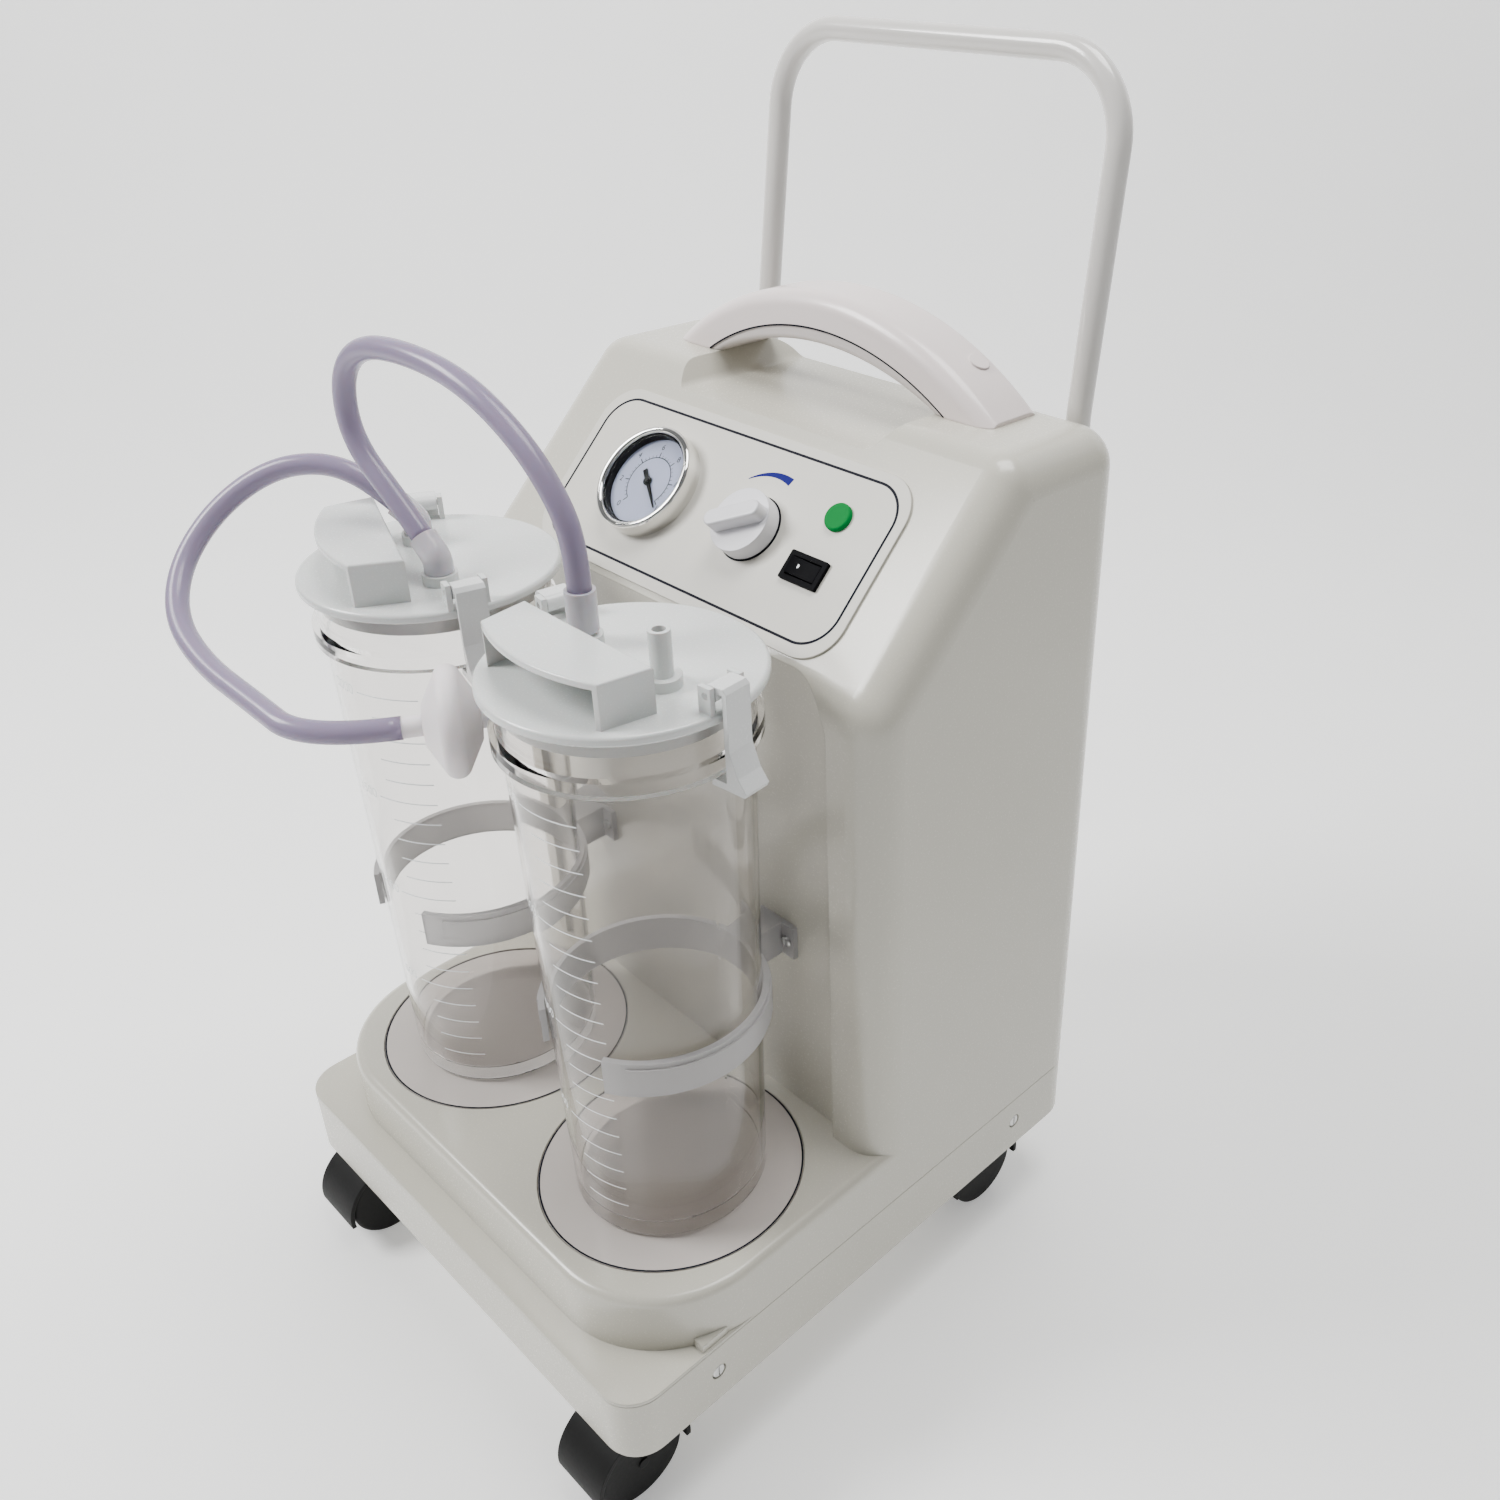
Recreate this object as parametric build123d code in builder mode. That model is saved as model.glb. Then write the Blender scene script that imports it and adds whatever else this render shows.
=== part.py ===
from build123d import *
import os
from math import cos, pi, radians, sin, sqrt, tan

# Mobile two-jar suction pump.  Millimetres.  X right seen from the front, -Y front, +Z up.
# The origin is on the floor, under the middle of the box that holds the object without its hoses.

# ---------------------------------------------------------------- driving dimensions
TRAY_WIDTH, TRAY_DEPTH, TRAY_CORNER = 320.0, 346.0, 20.0
HANDLE_TUBE_R = 6.5
HANDLE_BACK = 208.7                      # push bar centre behind the tray's middle
CASTER_X, CASTER_Y = 125.0, 135.0
WHEEL_R, WHEEL_TRAIL, HOOD_R = 25.0, 20.0, 29.0
MID = (CASTER_Y + WHEEL_TRAIL + HOOD_R - HANDLE_BACK - HANDLE_TUBE_R) / 2     # Y of the tray's middle
HALF_W, HALF_D = TRAY_WIDTH / 2, TRAY_DEPTH / 2

TRAY_BOTTOM, SEAM_Z, LEDGE_TOP, DECK_TOP = 56.0, 96.8, 98.8, 134.5
CABINET_TOP = 504.0
WALL = 3.0                               # moulded wall thickness
GAP = 0.3                                # clearance between bodies that move apart

CHEEK_Y, NICHE_Y = MID - 5.0, MID + 2.0  # front of the cabinet and of the recess behind the jars
SLOPE_FOOT_Z = 406.6                     # where the 45 degree front slope leaves the cheek
NICHE_HALF, NICHE_TOP = 128.0, 413.0

JAR_X, JAR_Y = 78.7, MID - 77.1
JAR_FOOT_R, JAR_SHOULDER_R, JAR_BEAD_R, JAR_WALL = 50.3, 55.8, 60.0, 2.5
JAR_BOTTOM, JAR_SHOULDER_Z, JAR_TOP = DECK_TOP + GAP, 404.0, 430.4
LID_R, LID_BOTTOM, LID_TOP = 63.5, 432.2, 436.8
BRIDGE_TOP = 458.0
PORT_OFFSET, NOZZLE_R, NOZZLE_BORE = 27.5, 5.0, 3.0
NOZZLE_TOP = {"right": 463.0, "left": 447.0}
LATCH_R, LATCH_Z = 59.0, 445.0           # latch pivot: distance from the lid's centre, height
LATCH_TURNS = (6.0, 172.0)
LID_TURN = {"right": 0.0, "left": -20.0}
SEAT_R = 70.4

HOSE_R = 5.5
CLIP_Z0, CLIP_Z1, CLIP_R = 238.0, 258.0, 53.4

STEM_R, AXLE_R, RUN_FIT = 4.0, 3.0, 0.05

# plane of the sloping control panel: local x to the right, local y up the slope
PANEL = Plane(origin=(0, MID + 8.6, 420.2), x_dir=(1, 0, 0), z_dir=(0, -sqrt(0.5), sqrt(0.5)))
PANEL_HALF, PANEL_LOW, PANEL_HIGH, PANEL_CORNER, PANEL_THICK = 117.0, -6.2, 94.0, 22.0, 1.2
GAUGE_AT, GAUGE_R = (-48.0, 45.3), 30.5
KNOB_AT, KNOB_R = (31.0, 43.5), 17.5
LAMP_AT, LAMP_R = (79.3, 64.5), 7.5
SWITCH_AT, SWITCH_W, SWITCH_H = (77.5, 34.0), 25.0, 15.5

os.makedirs("parts", exist_ok=True)


def save(part, name):
    """Label one finished piece and write it as its own STEP file."""
    part.label = name
    export_step(part, f"parts/{name}.step")


def radial(angle):
    """Plane of the radial section at an angle about the jar axis: x outwards, y up."""
    return Plane(origin=(0, 0, 0), x_dir=(cos(radians(angle)), sin(radians(angle)), 0),
                 z_dir=(sin(radians(angle)), -cos(radians(angle)), 0))


def at_jar(side, turn=0.0):
    """Location of a jar's axis on the floor, with the lid's turn about it."""
    return Location((JAR_X if side == "right" else -JAR_X, JAR_Y, 0), (0, 0, turn))


# ---------------------------------------------------------------- base tray
CASTER_POINTS = [(sx * CASTER_X, MID + sy * CASTER_Y) for sx in (-1, 1) for sy in (-1, 1)]
SKIRT_SCREW_Z = 78.5
SKIRT_SCREW_Y = (MID - 117.0, MID + 117.0)

with BuildPart() as tray:
    with BuildSketch(Plane.XY.offset(TRAY_BOTTOM)):
        with Locations((0, MID)):
            RectangleRounded(TRAY_WIDTH, TRAY_DEPTH, TRAY_CORNER)
    extrude(amount=SEAM_Z - GAP - TRAY_BOTTOM)
    fillet(tray.faces().sort_by(Axis.Z)[0].edges(), 3)
    with BuildSketch(Plane.XY.offset(TRAY_BOTTOM + WALL)):
        with Locations((0, MID)):
            RectangleRounded(TRAY_WIDTH - 2 * WALL, TRAY_DEPTH - 2 * WALL, TRAY_CORNER - WALL)
    extrude(amount=SEAM_Z, mode=Mode.SUBTRACT)
    with BuildSketch(Plane.XY.offset(TRAY_BOTTOM + 1)):
        with Locations(*CASTER_POINTS):
            Circle(12)
    extrude(amount=21)
    with BuildSketch(Plane.XY.offset(TRAY_BOTTOM - 1)):
        with Locations(*CASTER_POINTS):
            Circle(STEM_R + RUN_FIT)
    extrude(amount=21, mode=Mode.SUBTRACT)
    with BuildSketch(Plane.YZ.offset(-HALF_W - 1)):
        with Locations(*[(y, SKIRT_SCREW_Z) for y in SKIRT_SCREW_Y]):
            Circle(2.0)
    extrude(amount=TRAY_WIDTH + 2, mode=Mode.SUBTRACT)
    for side in (-1, 1):
        with BuildSketch(Plane(origin=(side * (HALF_W + 1), 0, 0), x_dir=(0, 1, 0), z_dir=(side, 0, 0))):
            with Locations(*[(y, side * SKIRT_SCREW_Z) for y in SKIRT_SCREW_Y]):
                Circle(4.4)
        extrude(amount=-2.9, mode=Mode.SUBTRACT)
save(tray.part, "base_tray")


# ---------------------------------------------------------------- upper housing
def cabinet(inset):
    """The cabinet block with its 45 degree front slope, all walls moved in by inset."""
    front, back, top = CHEEK_Y + inset, MID + HALF_D - inset, CABINET_TOP - inset
    slope = CABINET_TOP - SLOPE_FOOT_Z
    drop = inset * tan(radians(22.5))
    with BuildPart() as block:
        with BuildSketch(Plane.YZ.offset(-HALF_W + inset)):
            Polygon((front, SEAM_Z), (front, SLOPE_FOOT_Z - drop), (CHEEK_Y + slope + drop, top),
                    (back, top), (back, SEAM_Z), align=None)
        extrude(amount=TRAY_WIDTH - 2 * inset)
        across = block.edges().filter_by(Axis.X)
        fillet(across.filter_by(lambda e: abs(e.center().Z - SLOPE_FOOT_Z + drop) < 1), 30 - inset)
        across = block.edges().filter_by(Axis.X).filter_by(lambda e: e.center().Z > SLOPE_FOOT_Z + 60)
        fillet(across, 20 - inset)
        for side in (block.faces().sort_by(Axis.X)[0], block.faces().sort_by(Axis.X)[-1]):
            rim = side.edges().filter_by(lambda e: e.center().Z > SEAM_Z + 1)
            fillet(rim, TRAY_CORNER - inset)
    return block.part


def deck(inset, bottom):
    """The raised jar deck in front of the cabinet, rounded towards the front."""
    with BuildPart() as block:
        with BuildSketch(Plane.XY.offset(bottom)):
            with BuildLine():
                half, front, back, turn = HALF_W - inset, MID - 159.0 + inset, MID + 60, 66.0 - inset
                FilletPolyline((half, back), (half, front), (-half, front), (-half, back), radius=turn)
                Line((-half, back), (half, back))
            make_face()
        extrude(amount=DECK_TOP - inset - bottom)
        if not inset:
            fillet(block.faces().sort_by(Axis.Z)[-1].edges().filter_by(lambda e: e.center().Y < back - 1), 5)
    return block.part


def niche(grow):
    """The shallow recess behind the jars, with round upper corners."""
    with BuildPart() as block:
        with BuildSketch(Plane.XZ.offset(-NICHE_Y - grow)) as face:
            Polygon((-NICHE_HALF - grow, DECK_TOP - 3 * grow), (NICHE_HALF + grow, DECK_TOP - 3 * grow),
                    (NICHE_HALF + grow, NICHE_TOP + grow), (-NICHE_HALF - grow, NICHE_TOP + grow),
                    align=None)
            fillet(face.vertices().group_by(Axis.Y)[-1], 28 + grow)
        extrude(amount=40)
    return block.part


def scoop(grow):
    """The hand channel that runs front to back through the cabinet's top."""
    with BuildPart() as block:
        with BuildSketch(Plane.XZ.offset(-MID - 200)) as face:
            Polygon((-72 - grow, 492 - grow), (72 + grow, 492 - grow), (86 + grow, 510), (-86 - grow, 510),
                    align=None)
            fillet(face.vertices().group_by(Axis.Y)[0], 7)
        extrude(amount=150)
    return block.part


REAR_HALF, REAR_LOW, REAR_HIGH = 84.0, 122.0, 462.0
SEAT_DEPTH = 2.0
with BuildPart() as hollow:
    add(cabinet(WALL))
    add(niche(WALL), mode=Mode.SUBTRACT)
    add(scoop(WALL), mode=Mode.SUBTRACT)
    add(deck(WALL, SEAM_Z))
    with BuildSketch(Plane.XY.offset(SEAM_Z - 1)):
        with Locations((0, MID)):
            RectangleRounded(TRAY_WIDTH - 2 * WALL, TRAY_DEPTH - 120, TRAY_CORNER - WALL)
    extrude(amount=1.5)

with BuildPart() as housing:
    with BuildSketch(Plane.XY.offset(SEAM_Z)):
        with Locations((0, MID)):
            RectangleRounded(TRAY_WIDTH, TRAY_DEPTH, TRAY_CORNER)
    extrude(amount=LEDGE_TOP - SEAM_Z)
    add(deck(0, SEAM_Z))
    add(cabinet(0))
    add(niche(0), mode=Mode.SUBTRACT)
    add(scoop(0), mode=Mode.SUBTRACT)
    add(hollow.part, mode=Mode.SUBTRACT)
    # round seats for the two jars
    with BuildSketch(Plane.XY.offset(DECK_TOP - SEAT_DEPTH)):
        with Locations((JAR_X, JAR_Y), (-JAR_X, JAR_Y)):
            Circle(SEAT_R + 0.5)
    extrude(amount=SEAT_DEPTH + 1, mode=Mode.SUBTRACT)
    # rear service opening
    with BuildSketch(Plane.XZ.offset(-MID - HALF_D - 1)):
        with Locations((0, (REAR_LOW + REAR_HIGH) / 2)):
            RectangleRounded(2 * REAR_HALF, REAR_HIGH - REAR_LOW, 12)
    extrude(amount=WALL + 2, mode=Mode.SUBTRACT)
    # holes behind the control panel
    with BuildSketch(PANEL.offset(-8)):
        with Locations(GAUGE_AT):
            Circle(GAUGE_R - 3.5)
        with Locations(KNOB_AT):
            Circle(6)
        with Locations(LAMP_AT):
            Circle(5.5)
        with Locations(SWITCH_AT):
            Rectangle(SWITCH_W - 4, SWITCH_H - 3)
    extrude(amount=12, mode=Mode.SUBTRACT)
    # bore for the vacuum inlet and tabs that take the skirt screws
    with BuildSketch(Plane.XZ.offset(-NICHE_Y + 1)):
        with Locations((0, 398)):
            Circle(6)
    extrude(amount=-8, mode=Mode.SUBTRACT)
    with BuildSketch(Plane.XY.offset(SKIRT_SCREW_Z - 8)):
        for sx in (-1, 1):
            with Locations(*[(sx * (HALF_W - WALL - GAP - 3), y) for y in SKIRT_SCREW_Y]):
                Rectangle(6, 16)
    extrude(amount=SEAM_Z - SKIRT_SCREW_Z + 15)
    with BuildSketch(Plane.XY.offset(SEAM_Z + 1)):
        for sx in (-1, 1):
            with Locations(*[(sx * (HALF_W - 4), y) for y in SKIRT_SCREW_Y]):
                Rectangle(5, 16)
    extrude(amount=6)
    with BuildSketch(Plane.YZ.offset(-HALF_W + 1)):
        with Locations(*[(y, SKIRT_SCREW_Z) for y in SKIRT_SCREW_Y]):
            Circle(1.6)
    extrude(amount=TRAY_WIDTH - 2, mode=Mode.SUBTRACT)
save(housing.part, "upper_housing")


# ---------------------------------------------------------------- jar seats, rear cover, panel
with BuildPart() as seats:
    with BuildSketch(Plane.XY.offset(DECK_TOP - SEAT_DEPTH)):
        with Locations((-JAR_X, JAR_Y), (JAR_X, JAR_Y)):
            Circle(SEAT_R)
    extrude(amount=SEAT_DEPTH)
save(seats.part, "jar_seats")

COVER_Y = MID + HALF_D
COVER_SCREWS = [(sx * (REAR_HALF + 7), z) for sx in (-1, 1) for z in (REAR_LOW + 20, 290, REAR_HIGH - 20)]
INLET_AT = (-48.0, 150.0)
with BuildPart() as cover:
    with BuildSketch(Plane.XZ.offset(-COVER_Y)):
        with Locations((0, (REAR_LOW + REAR_HIGH) / 2)):
            RectangleRounded(2 * REAR_HALF + 28, REAR_HIGH - REAR_LOW + 24, 16)
    extrude(amount=-2.5)
    fillet(cover.faces().sort_by(Axis.Y)[-1].edges(), 1)
    with BuildSketch(Plane.XZ.offset(-COVER_Y + 1)):
        with Locations(*COVER_SCREWS):
            Circle(2.2)
        with Locations(INLET_AT):
            Rectangle(27.6, 20)
        with Locations((0, 225)):
            with GridLocations(56, 9, 2, 9):
                SlotOverall(46, 4)
        with Locations((0, 400)):
            with GridLocations(56, 9, 2, 7):
                SlotOverall(46, 4)
    extrude(amount=-8, mode=Mode.SUBTRACT)
save(cover.part, "rear_cover")

with BuildPart() as panel:
    with BuildSketch(PANEL):
        with Locations((0, (PANEL_LOW + PANEL_HIGH) / 2)):
            RectangleRounded(2 * PANEL_HALF, PANEL_HIGH - PANEL_LOW, PANEL_CORNER)
    extrude(amount=PANEL_THICK)
    with BuildSketch(PANEL.offset(-1)):
        with Locations(GAUGE_AT):
            Circle(GAUGE_R - 3.2)
        with Locations(KNOB_AT):
            Circle(5.6)
        with Locations(LAMP_AT):
            Circle(5.7)
        with Locations(SWITCH_AT):
            Rectangle(SWITCH_W - 3.4, SWITCH_H - 2.4)
    extrude(amount=4, mode=Mode.SUBTRACT)
save(panel.part, "control_panel")


# ---------------------------------------------------------------- vacuum gauge
def on_panel(at, height):
    """Plane parallel to the control panel, centred on a panel point, at a height above its slope."""
    plane = PANEL.offset(height)
    return Plane(origin=plane.from_local_coords((at[0], at[1], 0)), x_dir=plane.x_dir, z_dir=plane.z_dir)


def ring(plane, outer, inner, height):
    """A plain ring that stands on a plane."""
    with BuildPart() as hoop:
        with BuildSketch(plane):
            Circle(outer)
            if inner:
                Circle(inner, mode=Mode.SUBTRACT)
        extrude(amount=height)
    return hoop.part


DIAL_BASE, GAUGE_FACE = PANEL_THICK + 3.0, PANEL_THICK + 8.0
with BuildPart() as can:
    with BuildSketch(on_panel(GAUGE_AT, -26)):
        Circle(GAUGE_R - 4)
    extrude(amount=26 + GAUGE_FACE)
    with BuildSketch(on_panel(GAUGE_AT, DIAL_BASE)):
        Circle(GAUGE_R - 5)
    extrude(amount=12, mode=Mode.SUBTRACT)
    with BuildSketch(on_panel(GAUGE_AT, DIAL_BASE - 3.5)):
        Circle(1.6)
    extrude(amount=4, mode=Mode.SUBTRACT)
    with BuildSketch(on_panel(GAUGE_AT, -40)):
        Circle(4.5)
    extrude(amount=15)
save(can.part, "gauge_case")

with BuildPart() as bezel:
    add(ring(on_panel(GAUGE_AT, PANEL_THICK), GAUGE_R, GAUGE_R - 3.9, 11))
    fillet(bezel.faces().sort_by(Axis(PANEL.origin, PANEL.z_dir))[-1].edges(), 1.9)
save(bezel.part, "gauge_bezel")
save(ring(on_panel(GAUGE_AT, DIAL_BASE), GAUGE_R - 5.2, 1.6, 1.0), "gauge_dial")
save(ring(on_panel(GAUGE_AT, GAUGE_FACE + 0.1), GAUGE_R - 4.0, 0, 1.4), "gauge_glass")

NEEDLE_TURN = -40.0                     # direction of the needle at rest, from the panel's +x
with BuildPart() as needle:
    with BuildSketch(on_panel(GAUGE_AT, DIAL_BASE + 1.6)):
        Circle(2.6)
        with Locations(Rotation(0, 0, NEEDLE_TURN)):
            Polygon((-8, -1.3), (-8, 1.3), (0, 1.1), (19, 0.25), (19, -0.25), (0, -1.1), align=None)
    extrude(amount=0.8)
    with BuildSketch(on_panel(GAUGE_AT, DIAL_BASE - 3)):
        Circle(1.55)
    extrude(amount=6.2)
save(needle.part, "gauge_needle")

# ---------------------------------------------------------------- regulator, lamp and switch
with BuildPart() as valve:
    with BuildSketch(on_panel(KNOB_AT, -30)):
        Circle(11)
    extrude(amount=26.6)
    with BuildSketch(on_panel(KNOB_AT, -4)):
        Circle(5.4)
    extrude(amount=4 + PANEL_THICK)
    with BuildSketch(on_panel(KNOB_AT, -12)):
        Circle(2.55)
    extrude(amount=20, mode=Mode.SUBTRACT)
    with BuildSketch(on_panel(KNOB_AT, -42)):
        Circle(4)
    extrude(amount=13)
save(valve.part, "regulator_valve")

KNOB_TOP = 19.0
with BuildPart() as knob:
    with BuildSketch(on_panel(KNOB_AT, PANEL_THICK + 0.8)):
        Circle(KNOB_R)
    extrude(amount=9)
    with BuildSketch(on_panel(KNOB_AT, PANEL_THICK + 9)):
        with Locations(Rotation(0, 0, 30)):
            SlotOverall(2 * KNOB_R - 2, 9)
    extrude(amount=KNOB_TOP - 9 - PANEL_THICK)
    fillet(knob.faces().sort_by(Axis(PANEL.origin, PANEL.z_dir))[-1].edges(), 1.2)
    with BuildSketch(on_panel(KNOB_AT, -10)):
        Circle(2.5)
    extrude(amount=13)
save(knob.part, "regulator_knob")

with BuildPart() as lamp:
    with BuildSketch(on_panel(LAMP_AT, PANEL_THICK)):
        Circle(LAMP_R)
    extrude(amount=2.6)
    fillet(lamp.faces().sort_by(Axis(PANEL.origin, PANEL.z_dir))[-1].edges(), 1.2)
    with BuildSketch(on_panel(LAMP_AT, -16)):
        Circle(5.3)
    extrude(amount=18)
save(lamp.part, "power_lamp")

with BuildPart() as frame:
    with BuildSketch(on_panel(SWITCH_AT, PANEL_THICK)):
        RectangleRounded(SWITCH_W, SWITCH_H, 1)
    extrude(amount=2)
    with BuildSketch(on_panel(SWITCH_AT, -16)):
        Rectangle(SWITCH_W - 4.4, SWITCH_H - 3.4)
    extrude(amount=18)
    with BuildSketch(on_panel(SWITCH_AT, -5)):
        Rectangle(SWITCH_W - 5.6, SWITCH_H - 5.4)
    extrude(amount=12, mode=Mode.SUBTRACT)
save(frame.part, "switch_frame")

ROCKER_TILT = 7.0                        # the rocker rests pressed at one end
with BuildPart() as rocker:
    with BuildSketch(Plane.XZ) as outline:
        with BuildLine():
            half = (SWITCH_W - 6.6) / 2
            Polyline((-half, 2.2), (-half, -1.0), (-3, -3.5), (3, -3.5), (half, -1.0), (half, 2.2))
            ThreePointArc((half, 2.2), (0, 1.2), (-half, 2.2))
        make_face()
    extrude(amount=(SWITCH_H - 6.6) / 2, both=True)
rocker_place = Location(on_panel(SWITCH_AT, PANEL_THICK + 0.8)) * Rotation(0, ROCKER_TILT, 0)
save(rocker_place * rocker.part, "switch_rocker")


# ---------------------------------------------------------------- carry handle
HANDLE_Y0, HANDLE_Y1 = MID + 116.5, MID + 156.5
HANDLE_HALF, HANDLE_APEX, GRIP_APEX, GAP_APEX = 117.5, 549.0, 531.0, 523.0


def arch(half, foot, apex):
    """An arc over the cabinet's top, from foot to foot through its apex."""
    return ThreePointArc((-half, foot), (0, apex), (half, foot))


PLUG_X, PLUG_Y = 88.0, MID + 143.0
ARCH_R = ((HANDLE_APEX - CABINET_TOP - 2) ** 2 + HANDLE_HALF ** 2) / (2 * (HANDLE_APEX - CABINET_TOP - 2))
PLUG_Z = HANDLE_APEX - ARCH_R + sqrt(ARCH_R ** 2 - PLUG_X ** 2)
with BuildPart() as handle:
    with BuildSketch(Plane.XZ.offset(-HANDLE_Y0)):
        with BuildLine():
            arch(HANDLE_HALF, CABINET_TOP + 2, HANDLE_APEX)
            Polyline((HANDLE_HALF, CABINET_TOP + 2), (HANDLE_HALF, CABINET_TOP), (89, CABINET_TOP))
            arch(89, CABINET_TOP, GRIP_APEX)
            Polyline((-89, CABINET_TOP), (-HANDLE_HALF, CABINET_TOP), (-HANDLE_HALF, CABINET_TOP + 2))
        make_face()
    extrude(amount=-(HANDLE_Y1 - HANDLE_Y0))
    fillet(handle.edges().filter_by(GeomType.CIRCLE).sort_by(Axis.Z)[-2:], 9)
    # round plugs over the two fixing screws
    for lean in (-PLUG_X / ARCH_R, PLUG_X / ARCH_R):
        upright = Vector(lean, 0, sqrt(1 - lean ** 2))
        with BuildSketch(Plane(origin=Vector(lean * ARCH_R, PLUG_Y, PLUG_Z) - upright * 3, x_dir=(0, 1, 0),
                               z_dir=upright)):
            Circle(5.5)
        extrude(amount=3.9)
save(handle.part, "carry_handle")

with BuildPart() as grip:
    with BuildSketch(Plane.XZ.offset(-HANDLE_Y0 - 0.6)):
        with BuildLine():
            arch(88.6, CABINET_TOP + 0.2, GRIP_APEX - 0.3)
            Line((88.6, CABINET_TOP + 0.2), (80.5, CABINET_TOP + 0.2))
            arch(80.5, CABINET_TOP + 0.2, GAP_APEX)
            Line((-88.6, CABINET_TOP + 0.2), (-80.5, CABINET_TOP + 0.2))
        make_face()
    extrude(amount=-(HANDLE_Y1 - HANDLE_Y0 - 1.2))
    fillet(grip.edges().filter_by(GeomType.CIRCLE).sort_by(Axis.Z)[:2], 3)
save(grip.part, "handle_grip")

# ---------------------------------------------------------------- push handle
LEG_X, LEG_Y, LEG_LOW, LEG_BEND, BAR_Y, BAR_Z = 119.0, MID + 187.0, 300.0, 496.0, MID + HANDLE_BACK, 664.7
with BuildPart() as push:
    with BuildLine() as route:
        FilletPolyline((-LEG_X, LEG_Y, LEG_LOW), (-LEG_X, LEG_Y, LEG_BEND), (-LEG_X, BAR_Y, BAR_Z),
                       (LEG_X, BAR_Y, BAR_Z), (LEG_X, LEG_Y, LEG_BEND), (LEG_X, LEG_Y, LEG_LOW),
                       radius=(60, 42, 42, 60))
    with BuildSketch(Plane(origin=(-LEG_X, LEG_Y, LEG_LOW), z_dir=(0, 0, 1))):
        Circle(HANDLE_TUBE_R)
        Circle(HANDLE_TUBE_R - 1.5, mode=Mode.SUBTRACT)
    sweep(path=route.line)
save(push.part, "push_handle")

CLAMP_Z = (325.0, 455.0)
with BuildPart() as clamps:
    for z in CLAMP_Z:
        with BuildSketch(Plane.XY.offset(z - 9)):
            for x in (-LEG_X, LEG_X):
                with Locations((x, COVER_Y + 2)):
                    Rectangle(42, 4)
                with Locations((x, (COVER_Y + LEG_Y) / 2)):
                    Rectangle(21, LEG_Y - COVER_Y)
                with Locations((x, LEG_Y)):
                    Circle(10.5)
                    Circle(HANDLE_TUBE_R, mode=Mode.SUBTRACT)
        extrude(amount=18)
    with BuildSketch(Plane.XZ.offset(-COVER_Y + 1)):
        with Locations(*[(sx * LEG_X + dx, z) for sx in (-1, 1) for dx in (-16, 16) for z in CLAMP_Z]):
            Circle(2.2)
    extrude(amount=-8, mode=Mode.SUBTRACT)
save(clamps.part, "handle_clamps")


# ---------------------------------------------------------------- fasteners
def screw(plane, length, head=4.0, shank=1.6):
    """A pan head screw whose head sits on a plane and whose shank runs against its normal."""
    with BuildPart() as body:
        with BuildSketch(plane):
            Circle(head)
        extrude(amount=1.8)
        fillet(body.faces().sort_by(Axis(plane.origin, plane.z_dir))[-1].edges(), 1.2)
        with BuildSketch(plane.offset(1.8)):
            SlotOverall(1.6 * head, 0.9)
        extrude(amount=-0.8, mode=Mode.SUBTRACT)
        with BuildSketch(plane):
            Circle(shank)
        extrude(amount=-length)
    return body.part


def screws(planes, length, head=4.0, shank=1.6):
    """A set of identical screws as one group of solids."""
    with BuildPart() as group:
        for plane in planes:
            add(screw(plane, length, head, shank))
    return group.part


CLIP_SCREW_Z = (CLIP_Z0 + CLIP_Z1) / 2
skirt_planes = [Plane(origin=(sx * (HALF_W - 1.9), y, SKIRT_SCREW_Z), z_dir=(sx, 0, 0))
                for sx in (-1, 1) for y in SKIRT_SCREW_Y]
clip_planes = [Plane(origin=(sx * JAR_X + dx, NICHE_Y - 3, CLIP_SCREW_Z), z_dir=(0, -1, 0))
               for sx in (-1, 1) for dx in (-13, 13)]
save(screws(skirt_planes, 7), "skirt_screws")
save(screws(clip_planes, 3, 3.2, 1.6), "clip_screws")
cover_planes = [Plane(origin=(x, COVER_Y + 2.5, z), z_dir=(0, 1, 0)) for x, z in COVER_SCREWS]
clamp_planes = [Plane(origin=(sx * LEG_X + dx, COVER_Y + 4, z), z_dir=(0, 1, 0))
                for sx in (-1, 1) for dx in (-16, 16) for z in CLAMP_Z]
with BuildPart() as rear_set:
    add(screws(cover_planes, 2.5, 3.6, 2.2))
    add(screws(clamp_planes, 4, 3.6, 2.2))
save(rear_set.part, "rear_screws")


# ---------------------------------------------------------------- jars, gaskets, lids
def turned(points, rounds=()):
    """A solid turned about the Z axis from a section of (radius, height) points."""
    with BuildPart() as spun:
        with BuildSketch(Plane.XZ) as section:
            Polygon(*points, align=None)
            for index, radius in rounds:
                corner = Vector(points[index][0], points[index][1], 0)
                fillet(section.vertices().sort_by_distance(corner)[0], radius)
        revolve(axis=Axis.Z)
    return spun.part


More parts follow.
